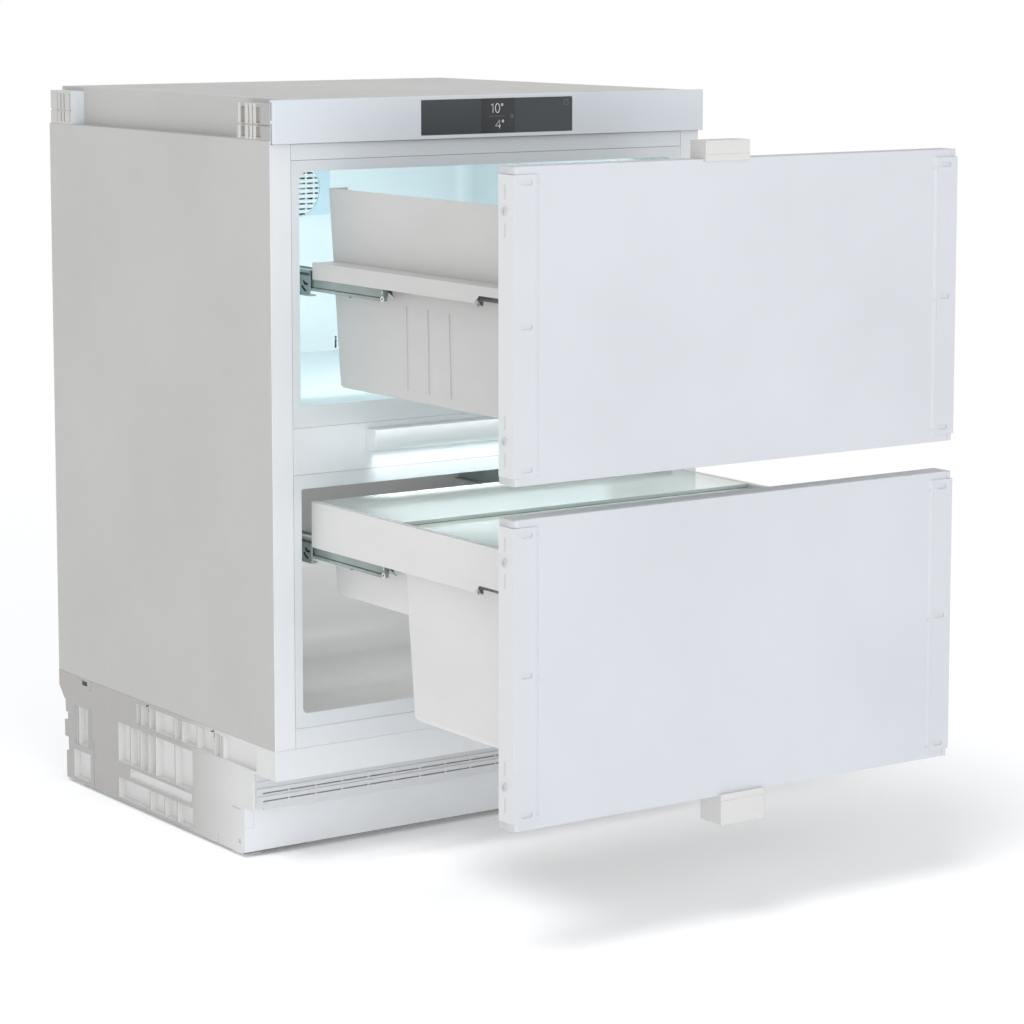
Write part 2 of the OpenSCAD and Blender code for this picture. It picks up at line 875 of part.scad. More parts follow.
module base_side() {
    x = [-half_w, -half_w + side_t];
    top = skirt_z;
    difference() {
        union() {
            for (band = rear_bands)
                block(x, [192, band[2]], [band[0], band[1]]);
            along_x(-half_w, -half_w + side_t)
                polygon([[plinth_y + plinth_t, base_clear], [192, base_clear], [192, top],
                         [grille_y + grille_t, top], [grille_y + grille_t, plinth_z1],
                         [plinth_y + plinth_t, plinth_z1]]);
        }
        for (row = upper_ribs) rib_pockets(row, [53, top - 3], pocket_depth);
        rib_pockets(lower_ribs, [base_clear + 3, 33], pocket_depth);
        block([-half_w - 1, -half_w + 3], [196, 350], [37.5, 49.5]);
        block([-half_w - 1, -half_w + 7], [192.5, 200], [41, 53]);
        block([-half_w - 1, -half_w + 1.5], [131, 135], [base_clear - 1, 15]);
        block([-half_w - 1, -half_w + 2], [80, 86], [16, 21]);
        block([-half_w - 1, -half_w + 1], [80, 100], [56, 57.2]);
        block([-half_w - 1, -half_w + pocket_depth], [445, 446.5], [base_clear + 3, 65]);
        block([-half_w - 1, -half_w + pocket_depth], [455, 500], [base_clear + 4, 45]);
    }
}

module left_base_side() {
    place() color(base_colour) base_side();
}

module right_base_side() {
    place() color(base_colour) mirror([1, 0, 0]) base_side();
}

stem_gap = 0.05;
foot_places = [[-foot_x, foot_front_y], [foot_x, foot_front_y], [-foot_x, foot_rear_y],
               [foot_x, foot_rear_y]];
boss_h = 16;

// Steel floor of the machine compartment, with a threaded boss for each foot.
module base_plate() {
    half = half_w - side_t;
    place() color("#a7adb0")
        difference() {
            union() {
                block([-half, half], [plinth_y + 4, 512], [plate_z, plate_z + plate_t]);
                for (p = foot_places)
                    translate([p[0], p[1], plate_z])
                        intersection() {
                            cylinder(r = 9, h = boss_h);
                            block([-half - p[0], half - p[0]], [-20, 20], [-1, boss_h + 1]);
                        }
            }
            for (p = foot_places)
                translate([p[0], p[1], plate_z - 1]) cylinder(r = stem_r + stem_gap, h = boss_h + 2);
        }
}

foot_r = 19;
foot_h = 4.2;

// Levelling foot: a ribbed disc on a threaded stem.
module foot(p) {
    color("#d8d8d6")
        translate([p[0], p[1], 0]) {
            difference() {
                cylinder(r = foot_r, h = foot_h);
                for (a = [0 : 30 : 330])
                    rotate([0, 0, a]) translate([foot_r + 1, 0, 1.5]) cylinder(r = 2.2, h = foot_h);
            }
            translate([0, 0, foot_h - 0.5]) cylinder(r = stem_r, h = 52);
        }
}

module foot_front_left() {
    place() foot(foot_places[0]);
}

module foot_front_right() {
    place() foot(foot_places[1]);
}

module foot_rear_left() {
    place() foot(foot_places[2]);
}

module foot_rear_right() {
    place() foot(foot_places[3]);
}

louvre_pitch = 35.9;
louvre_columns = 16;
louvre_rows = [70, 79.5];
louvre_slot = [33.6, 1.4];
louvre_z = [plinth_z1 + 2, skirt_z];
plinth_t = 2.8;
grille_half_w = half_w - 3.5;

// Louvred air grille above the plinth panel, with a ledge that carries the plinth.
module air_grille() {
    place() color(base_colour) {
        along_y(grille_y, grille_y + grille_t)
            difference() {
                translate([-grille_half_w, louvre_z[0]])
                    square([2 * grille_half_w, louvre_z[1] - louvre_z[0]]);
                for (z = louvre_rows, i = [0 : louvre_columns - 1])
                    translate([(i - (louvre_columns - 1) / 2) * louvre_pitch, z])
                        square(louvre_slot, center = true);
            }
        for (z = concat(louvre_rows, [88]))
            block([-grille_half_w, grille_half_w], [grille_y - 1.6, grille_y], [z + 1.3, z + 6]);
        block([-half_w + side_t + 0.2, half_w - side_t - 0.2], [grille_y, plinth_y + plinth_t],
              [plinth_z1, plinth_z1 + 2]);
    }
}

module plinth_panel() {
    x = [-half_w + 1, half_w - 1];
    place() color(base_colour)
        difference() {
            block(x, [plinth_y, plinth_y + plinth_t], [base_clear, plinth_z1]);
            block([-214, 214], [plinth_y - 1, plinth_y + plinth_t + 1], [0, base_clear + 0.9]);
            both_sides() {
                block([x[0] + 12, x[0] + 12.8], [plinth_y - 1, plinth_y + 0.8], [34, 57]);
                block([x[0] - 1, x[0] + 12.8], [plinth_y - 1, plinth_y + 0.8], [34, 34.8]);
            }
        }
}

// ---- Telescopic slides -----------------------------------------------------------

slide_x = -half_drawer + 2;
cabinet_slide_y = [6, 6 + cabinet_slide_l];
standoff_places = [70, 235, 400];

// Cabinet member of the left slide: a C channel open towards the drawer, on standoffs.
module cabinet_slide(band_z) {
    z = [band_z - 20, band_z + 9.5];
    block([slide_x, slide_x + slide_t], cabinet_slide_y, z);
    for (lip = [z[0], z[1] - slide_t])
        block([slide_x, slide_x + 8.5], cabinet_slide_y, [lip, lip + slide_t]);
    for (y = standoff_places)
        block([-half_cavity, slide_x], [y - 12, y + 12], [band_z - 18, band_z - 2]);
}

module cabinet_slides() {
    place() color(steel_colour)
        both_sides() {
            cabinet_slide(upper_band_z);
            cabinet_slide(lower_band_z);
        }
}

middle_x = slide_x + 4;
raceway_x = slide_x + 15.5;
flat_drop = 9;

// Middle member: an outer web that runs in the cabinet member and a raised inner web
// that runs in the drawer member, joined by a flat. Its front end has a buffer.
module middle_slide(band_z) {
    y = [-middle_out, middle_slide_l - middle_out];
    block([middle_x, middle_x + slide_t], y, [band_z - 14, band_z + 5]);
    block([middle_x - 2, middle_x + slide_t], y, [band_z - 14, band_z - 10.5]);
    block([middle_x, raceway_x + slide_t], y, [band_z - flat_drop, band_z - flat_drop + slide_t]);
    block([raceway_x, raceway_x + slide_t], y, [band_z - flat_drop, band_z + 10.5]);
    block([middle_x - 1.5, middle_x + 4], [y[0] - 3, y[0]], [band_z - 13.5, band_z - 1.5]);
}

module upper_middle_slides() {
    place() color(steel_colour) both_sides() middle_slide(upper_band_z);
}

module lower_middle_slides() {
    place() color(steel_colour) both_sides() middle_slide(lower_band_z);
}

member_x = [slide_x + 11, slide_x + 21.5];
member_top = 15;
member_rear = -20;
hook_y = [-323, -315];
hook_drop = 3.5;
// Slanted end of the cut-away in the slide covers, at its upper and its lower corner.
notch_y = [-335, -326];
notch_h = 8.4;

// Drawer member: a channel open downwards, with a hook and a plate to the door.
module drawer_slide(band_z) {
    y = [door_back, member_rear];
    z = [band_z + 1, band_z + member_top];
    for (x = [member_x[0], member_x[1] - slide_t])
        block([x, x + slide_t], y, z);
    block(member_x, y, [z[1] - slide_t, z[1]]);
    block([member_x[0], member_x[0] + slide_t], hook_y, [band_z - hook_drop, z[1]]);
    block(member_x, [y[0], y[0] + 2], [band_z - 30, z[1]]);
}

module upper_drawer_slides() {
    place() color(dark_steel_colour) both_sides() drawer_slide(upper_band_z);
}

module lower_drawer_slides() {
    place() color(dark_steel_colour) both_sides() drawer_slide(lower_band_z);
}

// ---- Tubs ------------------------------------------------------------------------

tub_front = door_back + 6;
// Rear edges of the slide covers, of the upper tub and of the lower tub's tray.
tub_rear = -3;
upper_tub_rear = -1.5;
tray_rear = 2.2;
corner_r = 4;

// Tapered box with rounded upright edges and a rounded floor edge. w is the width at
// the floor and at the rim, y_rear the rear face at the floor and at the rim, and g
// shrinks it on every side but the rim.
module tapered_box(w, y_rear, z, g, floor_r) {
    function mix(v, t) = v[0] + (v[1] - v[0]) * t;
    r = max(corner_r - g, 3);
    fr = max(floor_r - g, 2);
    steps = [0, 30, 60, 90];
    levels = concat(
        [for (a = steps) [z[0] + g + fr * (1 - cos(a)), fr * (1 - sin(a))]],
        [[z[1], 0]]);
    hull()
        for (level = levels) {
            t = (level[0] - z[0]) / (z[1] - z[0]);
            inset = g + level[1];
            half = mix(w, t) / 2 - inset;
            translate([0, 0, level[0]])
                linear_extrude(0.01)
                    rounded_rect([-half, half], [tub_front + inset, mix(y_rear, t) - inset], r,
                                 $fn = 24);
        }
}

ledge_z = upper_band_z + member_top;
low_rear_half_w = 200;
// Slightly slanted ribs on the upper tub's sides, as [lower end, upper end] along Y.
tub_ribs = [[-145.2, -151.7], [-187.7, -194.1], [-230.7, -235.8]];
rib_z = [upper_tub_z0 + 12, 652];
tub_rib_t = 1.6;
tub_rib_proud = 1.4;

// Half the width of the upper tub at a height.
function tub_half(z) =
    (tub_floor_w + (tub_top_w - tub_floor_w) * (z - upper_tub_z0)
     / (upper_tub_z1 - upper_tub_z0)) / 2;

module upper_tub() {
    w = [tub_floor_w, tub_top_w];
    y_rear = [upper_tub_rear, upper_tub_rear];
    z = [upper_tub_z0, upper_tub_z1];
    place() color(plastic_colour)
        difference() {
            union() {
                tapered_box(w, y_rear, z, 0, 4);
                block([member_x[0], -member_x[0]], [tub_front + 20, tub_rear - 12],
                      [ledge_z, ledge_z + 2]);
                both_sides()
                    for (rib = tub_ribs)
                        hull()
                            for (end = [0, 1])
                                block([-tub_half(rib_z[end]) - tub_rib_proud,
                                       -tub_half(rib_z[end]) + tub_t / 2],
                                      [rib[end] - tub_rib_t / 2, rib[end] + tub_rib_t / 2],
                                      [rib_z[end], rib_z[end] + 0.1]);
            }
            tapered_box(w, y_rear, [z[0], z[1] + 0.02], tub_t, 4);
            block([-low_rear_half_w, low_rear_half_w], [upper_tub_rear - 8, upper_tub_rear + 1],
                  [low_rear_z, z[1] + 1]);
        }
}

skirt_skin = 1.6;

// Outer skin beside a slide, cut away near the door, where the slide shows.
module notched_skirt(rear, z) {
    front = door_back + 0.4;
    along_x(-half_drawer, -half_drawer + skirt_skin)
        polygon([[rear, z[0]], [rear, z[1]], [front, z[1]], [front, z[0] + notch_h],
                 [notch_y[0], z[0] + notch_h], [notch_y[1], z[0]]]);
}

// Covers over the slides of the upper drawer: an outer skin and a flat top.
module upper_slide_covers() {
    place() color(plastic_colour)
        both_sides() {
            notched_skirt(tub_rear, [upper_band_z, upper_band_z + 19]);
            block([-half_drawer, -tub_half(ledge_z + 4) - 0.1], [door_back + 0.4, tub_rear],
                  [ledge_z + 2, ledge_z + 4]);
        }
}

tray_z0 = lower_band_z + member_top;
tray_half = half_drawer - 0.2;
lower_top_w = 439;

// Width of the lower tub below its tray at a height.
function lower_tub_w(z) =
    tub_floor_w + (lower_top_w - tub_floor_w) * (z - deep_z) / (tray_z0 - deep_z);

lid_t = 4;
lid_z = lower_rim_z - lid_t;
lid_gap = 0.4;
front_lid_z = lid_z - lid_gap - lid_t;
lid_half_w = 239.2;
rear_lid_y = [tray_rear - lid_d, tray_rear];
front_lid_y = [tub_front + tub_t + lid_gap, rear_lid_y[0] + 9];
lid_seat_z0 = 404;
lid_seat_w = 7.4;

// Rim along each side of the tray, with a seat for each pane of the glass cover.
module lid_seat() {
    side = [-tray_half + tub_t - 1, -lid_half_w - 0.2];
    seat = [side[0], side[1] + lid_seat_w];
    y = [tub_front + 1, tray_rear - tub_t + 1];
    block(side, y, [lid_seat_z0, lower_rim_z]);
    block(seat, y, [lid_seat_z0, front_lid_z]);
    block(seat, [front_lid_y[1] + 0.2, y[1]], [lid_seat_z0, lid_z]);
}

// Lower tub: a wide tray over the slides, a shallow rear part and a deep front part.
module lower_tub() {
    place() color(plastic_colour)
        difference() {
            union() {
                difference() {
                    lower_tub_form(0);
                    lower_tub_form(tub_t);
                }
                both_sides() {
                    notched_skirt(tray_rear, [lower_band_z, lower_rim_z]);
                    lid_seat();
                }
            }
            block([-lid_half_w - 0.2, lid_half_w + 0.2], [tray_rear - tub_t - 1, tray_rear + 1],
                  [lid_z, lower_rim_z + 1]);
        }
}

deep_rake = 0.04;
deep_rear = [-deep_y - deep_rake * (shallow_z - deep_z),
             -deep_y + deep_rake * (tray_z0 - shallow_z)];
shallow_rear = tray_rear - 1.5;
// How much narrower the shallow part is than the deep one.
shallow_step = 0.8;

module lower_tub_form(g) {
    lift = g > 0 ? 0.02 : 0;
    top = tray_z0 + g + 1;
    block([-tray_half + g, tray_half - g], [tub_front + g, tray_rear - g],
          [tray_z0 + g, lower_rim_z + lift]);
    tapered_box([lower_tub_w(shallow_z), lower_tub_w(top)] - [shallow_step, shallow_step],
                [shallow_rear, shallow_rear], [shallow_z, top], g, 5);
    tapered_box([lower_tub_w(deep_z), lower_tub_w(top)], deep_rear, [deep_z, top], g, 7);
}

// Rear pane, flush with the tray's rim, and front pane that slides in under it.
module glass_cover() {
    place() color("#cfe0dc", 0.6) {
        block([-lid_half_w, lid_half_w], rear_lid_y, [lid_z, lower_rim_z]);
        block([-lid_half_w, lid_half_w], front_lid_y, [front_lid_z, front_lid_z + lid_t]);
    }
}

// ---- Doors -----------------------------------------------------------------------

rail_t = 1.8;
door_sheet = 1;
panel_front = door_front + rail_t;
slot_x = 277.5;
screw_y = door_back - 13;
screw_r = 2;
inner_t = 2.6;

// Fixing slots of the rails, grown by g, as a drawing in (x, z) about the door's middle.
module fixing_slots(g) {
    for (x = [-slot_x, slot_x], z = [-slot_spacing / 2, 0, slot_spacing / 2])
        translate([x, z]) {
            square([slot_l - slot_w, slot_w + 2 * g], center = true);
            for (s = [-1, 1]) translate([s * (slot_l - slot_w) / 2, 0]) circle(slot_w / 2 + g);
        }
}

module at_screws(z_mid) {
    for (z = [-screw_spacing / 2, screw_spacing / 2])
        translate([-half_door, screw_y, z_mid + z]) children();
}

// Front sheet of a door, folded round its four edges, with room behind the slots.
module door_panel(z0) {
    z_mid = z0 + door_h / 2;
    half = half_door - rail_t;
    color(door_colour)
        difference() {
            block([-half, half], [panel_front, door_back - inner_t], [z0, z0 + door_h]);
            block([-half + door_sheet, half - door_sheet],
                  [panel_front + door_sheet, door_back], [z0 + door_sheet, z0 + door_h - door_sheet]);
            translate([0, 0, z_mid]) along_y(door_front, panel_front + 4) fixing_slots(1.5);
            both_sides() at_screws(z_mid) cylinder_x(screw_r + 0.1, -1, 8);
        }
}

// Foamed inner panel that closes a door at the back.
module door_inner(z0) {
    z_mid = z0 + door_h / 2;
    half = half_door - rail_t - door_sheet;
    color(plastic_colour)
        difference() {
            union() {
                block([-half, half], [panel_front + door_sheet, door_back - inner_t],
                      [z0 + door_sheet, z0 + door_h - door_sheet]);
                block([-half_door + rail_t, half_door - rail_t], [door_back - inner_t, door_back],
                      [z0, z0 + door_h]);
            }
            translate([0, 0, z_mid]) along_y(door_front, panel_front + 14) fixing_slots(1.5);
            both_sides() at_screws(z_mid) cylinder_x(screw_r + 0.1, -1, 16);
        }
}

gasket_t = shut_gap - 0.3;
gasket_in = half_cavity + 4;
gasket_w = 15;

// Magnetic seal on the back of a door, round an opening of the given height.
module door_gasket(z) {
    color("#e4e6e8")
        along_y(door_back, door_back + gasket_t)
            difference() {
                rounded_rect([-gasket_in - gasket_w, gasket_in + gasket_w],
                             [z[0] - gasket_w, z[1] + gasket_w], 14);
                rounded_rect([-gasket_in, gasket_in], z, 8);
            }
}

// Angle rails for a furniture front, one on each side of a door.
module door_rails(z0) {
    z_mid = z0 + door_h / 2;
    z = [z0 + rail_inset, z0 + door_h - rail_inset];
    color(door_colour)
        difference() {
            both_sides() {
                block([-half_door, -half_door + rail_w], [door_front, door_front + rail_t], z);
                block([-half_door, -half_door + rail_t], [door_front, door_back - 1.5], z);
            }
            translate([0, 0, z_mid]) along_y(door_front - 1, panel_front + 1) fixing_slots(0);
            both_sides() {
                at_screws(z_mid) cylinder_x(screw_r + 0.1, -1, 4);
                for (s = [-1, 1])
                    at_screws(z_mid) translate([0, 0, 19 * s])
                        block([-1, 3], [-1.6, 1.6], [-7, 7]);
            }
        }
}

// Pan head screws that hold the rails to the door's sides.
module rail_screws(z0) {
    color(door_colour)
        both_sides()
            at_screws(z0 + door_h / 2) {
                cylinder_x(screw_r, -0.5, 14);
                difference() {
                    cylinder_x(4.4, -1.8, 0);
                    block([-3, -1], [-0.5, 0.5], [-3, 3]);
                    block([-3, -1], [-3, 3], [-0.5, 0.5]);
                }
            }
}

module upper_door_panel() {
    place() door_panel(upper_door_z);
}

module upper_door_inner() {
    place() door_inner(upper_door_z);
}

module upper_door_gasket() {
    place() door_gasket([upper_z0 - 5, upper_z1 + 5]);
}

module upper_door_rails() {
    place() door_rails(upper_door_z);
}

module upper_rail_screws() {
    place() rail_screws(upper_door_z);
}

module lower_door_panel() {
    place() door_panel(lower_door_z);
}

module lower_door_inner() {
    place() door_inner(lower_door_z);
}

module lower_door_gasket() {
    place() door_gasket([lower_z0 - 4, lower_z1 + 4]);
}

module lower_door_rails() {
    place() door_rails(lower_door_z);
}

module lower_rail_screws() {
    place() rail_screws(lower_door_z);
}

aid_wrap = 2;

// Fitting aid over a door's edge: a block beyond the edge with a lip down the front.
module fitting_aid(x, edge, far, back) {
    low = min(edge, far);
    high = max(edge, far);
    dir = far > edge ? 1 : -1;
    lip = [min(edge, edge - dir * aid_wrap), max(edge, edge - dir * aid_wrap)];
    color(plastic_colour)
        difference() {
            union() {
                block(x, [row_front, back], [low, high]);
                block(x, [row_front, panel_front], lip);
            }
            block([x[0] - 1, x[1] + 1], [row_front - 1, row_front + 0.5],
                  [edge + dir * 5 - 0.3, edge + dir * 5 + 0.3]);
        }
}

module upper_fitting_aid() {
    place() fitting_aid([-55.6, 2.4], upper_door_z + door_h, 841.6, -443);
}

module lower_fitting_aid() {
    place() fitting_aid([-29, 29], lower_door_z, 117.4, -434);
}

// ---- Assembly --------------------------------------------------------------------

left_side_panel();
right_side_panel();
rear_panel();
machine_room_cover();
insulation_foam();
upper_liner();
lower_liner();
front_rails();
middle_panel();
lamp_housing();
lamp_lens();
top_cover();
head_fascia();
display_window();
control_board();
corner_spacers();
air_duct_cover();
circulation_fan_frame();
circulation_fan_rotor();
evaporator();
interior_light();
compressor();
compressor_mounts();
condenser();
condenser_fan_frame();
condenser_fan_rotor();
refrigerant_lines();
drip_tray();
base_frame();
left_base_side();
right_base_side();
base_plate();
air_grille();
plinth_panel();
power_inlet();
cabinet_slides();
foot_front_left();
foot_front_right();
foot_rear_left();
foot_rear_right();
upper_middle_slides();
lower_middle_slides();
upper_tub();
upper_slide_covers();
upper_drawer_slides();
upper_door_panel();
upper_door_inner();
upper_door_gasket();
upper_door_rails();
upper_rail_screws();
upper_fitting_aid();
lower_tub();
lower_drawer_slides();
lower_door_panel();
lower_door_inner();
lower_door_gasket();
lower_door_rails();
lower_rail_screws();
lower_fitting_aid();
glass_cover();
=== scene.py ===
"""Looks of the undercounter drawer refrigerator: finishes, fine detail, light and camera."""

import json
import math

import bmesh
import bpy
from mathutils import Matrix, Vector


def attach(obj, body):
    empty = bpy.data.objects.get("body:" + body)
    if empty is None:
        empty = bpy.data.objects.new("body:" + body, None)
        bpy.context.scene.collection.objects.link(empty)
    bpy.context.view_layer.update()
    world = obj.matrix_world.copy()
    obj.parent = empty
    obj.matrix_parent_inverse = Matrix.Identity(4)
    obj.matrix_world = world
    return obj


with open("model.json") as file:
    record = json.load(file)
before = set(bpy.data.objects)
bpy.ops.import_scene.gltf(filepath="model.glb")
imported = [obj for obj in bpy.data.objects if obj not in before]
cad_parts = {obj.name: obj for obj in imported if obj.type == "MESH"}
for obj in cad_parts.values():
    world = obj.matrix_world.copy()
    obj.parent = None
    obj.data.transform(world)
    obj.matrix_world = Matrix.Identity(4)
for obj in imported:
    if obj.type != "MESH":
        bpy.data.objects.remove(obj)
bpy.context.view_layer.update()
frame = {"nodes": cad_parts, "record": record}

MM = 0.001
ROW_SHIFT = -34.25  # along Y, from the cabinet's own frame to the frame of the whole row
NODES = frame["nodes"]
SLOT_OF = {s["node"]: s["material_slot"] for s in frame["record"]["subparts"]}

scene = bpy.context.scene


# ---- Shader tools ---------------------------------------------------------------------


def srgb(code):
    """Linear colour of a hex code."""
    value = [int(code[i : i + 2], 16) / 255 for i in (1, 3, 5)]
    return [v / 12.92 if v <= 0.04045 else ((v + 0.055) / 1.055) ** 2.4 for v in value] + [1.0]


def shade(colour, factor):
    return [min(1.0, c * factor) for c in colour[:3]] + [1.0]


class Shader:
    """A node material that is built up in steps."""

    def __init__(self, name, rough, **sockets):
        self.mat = bpy.data.materials.new(name)
        self.mat.use_nodes = True
        self.tree = self.mat.node_tree
        self.tree.nodes.clear()
        self.out = self.add("ShaderNodeOutputMaterial")
        self.bsdf = self.add("ShaderNodeBsdfPrincipled")
        self.coords = self.add("ShaderNodeTexCoord").outputs["Object"]
        self.link(self.bsdf.outputs["BSDF"], self.out.inputs["Surface"])
        self.bsdf.inputs["Roughness"].default_value = rough
        for key, value in sockets.items():
            self.bsdf.inputs[key.replace("_", " ")].default_value = value

    def add(self, kind):
        return self.tree.nodes.new(kind)

    def link(self, a, b):
        self.tree.links.new(a, b)

    def noise(self, scale, detail=2.0, stretch=(1, 1, 1)):
        mapping = self.add("ShaderNodeMapping")
        mapping.inputs["Scale"].default_value = stretch
        self.link(self.coords, mapping.inputs["Vector"])
        tex = self.add("ShaderNodeTexNoise")
        tex.inputs["Scale"].default_value = scale
        tex.inputs["Detail"].default_value = detail
        self.link(mapping.outputs["Vector"], tex.inputs["Vector"])
        return tex.outputs["Fac"]

    def ramp(self, value, stops):
        """A colour ramp between two stops, each a position and a colour."""
        node = self.add("ShaderNodeValToRGB")
        for element, (position, colour) in zip(node.color_ramp.elements, stops):
            element.position = position
            element.color = colour
        self.link(value, node.inputs["Fac"])
        return node.outputs["Color"]

    def span(self, value, low, high):
        """Maps the middle of a noise, 0.3 to 0.7, to a range."""
        node = self.add("ShaderNodeMapRange")
        node.inputs["From Min"].default_value = 0.3
        node.inputs["From Max"].default_value = 0.7
        node.inputs["To Min"].default_value = low
        node.inputs["To Max"].default_value = high
        self.link(value, node.inputs["Value"])
        return node.outputs["Result"]

    def colour(self, value):
        self.link(value, self.bsdf.inputs["Base Color"])

    def rough(self, value):
        self.link(value, self.bsdf.inputs["Roughness"])

    def bump(self, value, height, strength, round_edge=0.0):
        """Bump of a height in metres, over edges that the light sees as rounded."""
        node = self.add("ShaderNodeBump")
        node.inputs["Strength"].default_value = strength
        node.inputs["Distance"].default_value = height
        self.link(value, node.inputs["Height"])
        self.link(node.outputs["Normal"], self.bsdf.inputs["Normal"])
        if round_edge:
            bevel = self.add("ShaderNodeBevel")
            bevel.inputs["Radius"].default_value = round_edge
            self.link(bevel.outputs["Normal"], node.inputs["Normal"])


# ---- Finishes -------------------------------------------------------------------------


def paint(name, code, rough):
    """Coated sheet metal: faint cloudiness and the fine waves of a powder coat."""
    base = srgb(code)
    s = Shader(name, rough)
    s.colour(s.ramp(s.noise(5.0, 3.0), [(0.3, shade(base, 0.965)), (0.7, shade(base, 1.02))]))
    s.rough(s.span(s.noise(60.0, 4.0), rough - 0.05, rough + 0.07))
    s.bump(s.noise(420.0, 3.0), 0.00004, 0.35)
    return s.mat


def moulded(name, code, rough=0.5, grain=1500.0, height=0.00003, round_edge=0.0):
    """Moulded plastic with a fine eroded grain and soft flow marks."""
    base = srgb(code)
    s = Shader(name, rough)
    flow = s.noise(7.0, 2.0, (1, 1, 2.5))
    s.colour(s.ramp(flow, [(0.3, shade(base, 0.97)), (0.72, shade(base, 1.02))]))
    s.rough(s.span(s.noise(90.0, 3.0), rough - 0.06, rough + 0.08))
    s.bump(s.noise(grain, 2.0), height, 0.4, round_edge)
    return s.mat


def metal(name, code, rough=0.35, stretch=(1, 0.04, 1), grain=900.0, metallic=0.8):
    """Sheet metal with rolling marks along one direction and patchy zinc."""
    base = srgb(code)
    s = Shader(name, rough, Metallic=metallic)
    s.colour(s.ramp(s.noise(40.0, 4.0), [(0.32, shade(base, 0.86)), (0.68, shade(base, 1.08))]))
    s.rough(s.span(s.noise(grain, 3.0, stretch), rough - 0.08, rough + 0.12))
    s.bump(s.noise(grain, 3.0, stretch), 0.00002, 0.4)
    return s.mat


def glass(name, code):
    """Milky glass: most of the light is scattered at its surface."""
    s = Shader(name, 0.08, Transmission_Weight=0.12, IOR=1.5)
    base = srgb(code)
    s.colour(s.ramp(s.noise(6.0), [(0.3, shade(base, 0.98)), (0.7, base)]))
    s.bump(s.noise(14.0), 0.00003, 0.15)
    return s.mat


def glowing(name, code, strength):
    """Lit marks behind the display window: a slightly uneven glow."""
    s = Shader(name, 0.4)
    base = srgb(code)
    s.colour(s.ramp(s.noise(200.0), [(0.3, shade(base, 0.9)), (0.7, base)]))
    s.bsdf.inputs["Emission Color"].default_value = base
    s.bsdf.inputs["Emission Strength"].default_value = strength
    return s.mat


# ---- Second colours over a finish -----------------------------------------------------

# Sockets of a mix node for colours.
MIX_FACTOR, MIX_A, MIX_B, MIX_RESULT = 0, 6, 7, 2


def blend_over(mat, *layers):
    """Puts further colours over a finish, each where its mask of the position is 1."""
    tree = mat.node_tree
    bsdf = next(n for n in tree.nodes if n.type == "BSDF_PRINCIPLED")
    coords = next(n for n in tree.nodes if n.type == "TEX_COORD")
    for code, mask in layers:
        below = bsdf.inputs["Base Color"].links[0].from_socket
        parts = tree.nodes.new("ShaderNodeSeparateXYZ")
        blend = tree.nodes.new("ShaderNodeMix")
        blend.data_type = "RGBA"
        blend.inputs[MIX_B].default_value = srgb(code)
        tree.links.new(coords.outputs["Object"], parts.inputs[0])
        tree.links.new(mask(tree, parts), blend.inputs[MIX_FACTOR])
        tree.links.new(below, blend.inputs[MIX_A])
        tree.links.new(blend.outputs[MIX_RESULT], bsdf.inputs["Base Color"])
    return mat


def math_node(tree, operation, *sources):
    node = tree.nodes.new("ShaderNodeMath")
    node.operation = operation
    for source, socket in zip(sources, node.inputs):
        tree.links.new(source, socket)
    return node


def slope(tree, value, start, end):
    """0 up to a start in millimetres, 1 from an end on; the end may lie below the start."""
    node = tree.nodes.new("ShaderNodeMapRange")
    node.inputs["From Min"].default_value = start * MM
    node.inputs["From Max"].default_value = end * MM
    tree.links.new(value, node.inputs["Value"])
    return node.outputs["Result"]


def in_front_of(y, soft=0.1):
    """Mask of everything in front of y, with a soft edge."""

    def mask(tree, parts):
        return slope(tree, parts.outputs["Y"], y + ROW_SHIFT + soft, y + ROW_SHIFT - soft)

    return mask


def outer_face(x, y, soft_y):
    """Mask of the faces further from the middle than x, fading out in front of y."""
    soft_x = 0.2

    def mask(tree, parts):
        width = math_node(tree, "ABSOLUTE", parts.outputs["X"]).outputs[0]
        far_out = slope(tree, width, x - soft_x, x + soft_x)
        low, high = y + ROW_SHIFT - soft_y, y + ROW_SHIFT + soft_y
        behind = slope(tree, parts.outputs["Y"], low, high)
        return math_node(tree, "MULTIPLY", far_out, behind).outputs[0]

    return mask


def within(boxes):
    """Mask of rectangles in Y and Z, as (y, z) with two ends each."""

    def mask(tree, parts):
        total = None
        for y, z in boxes:
            inside = []
            for axis, (low, high), shift in (("Y", y, ROW_SHIFT), ("Z", z, 0.0)):
                node = math_node(tree, "COMPARE", parts.outputs[axis])
                node.inputs[1].default_value = ((low + high) / 2 + shift) * MM
                node.inputs[2].default_value = (high - low) / 2 * MM
                inside.append(node.outputs[0])
            box = math_node(tree, "MULTIPLY", *inside).outputs[0]
            if total is None:
                total = box
            else:
                total = math_node(tree, "MAXIMUM", total, box).outputs[0]
        return total

    return mask


def faced(make, name, code, face_code, edge_y, *args):
    """A finish whose front face, up to a depth behind the sealing plane, is another colour."""
    return blend_over(make(name, code, *args), (face_code, in_front_of(edge_y)))


# ---- Materials ------------------------------------------------------------------------

CASE_EDGE = 0.7  # Y just behind the front edges of the case and the base
LINER_EDGE = 2.3  # Y just behind the flanges of both liners
SIDE_FACE = 298.2  # X just inside the outer faces of the spacers and the base


def base_moulding(name):
    """The base's plastic: lighter at the front, darker at the rear of its outer faces, a painted
    shade.
    """
    edge_radius = 0.0006
    finish = (0.5, 1500.0, 0.00003, edge_radius)
    return blend_over(
        faced(moulded, name, "#ececea", "#eef1f4", CASE_EDGE, *finish),
        # Painted shade: the outer faces turn darker towards the rear.
        ("#bfbcba", outer_face(SIDE_FACE, 150.0, 70.0)),
    )


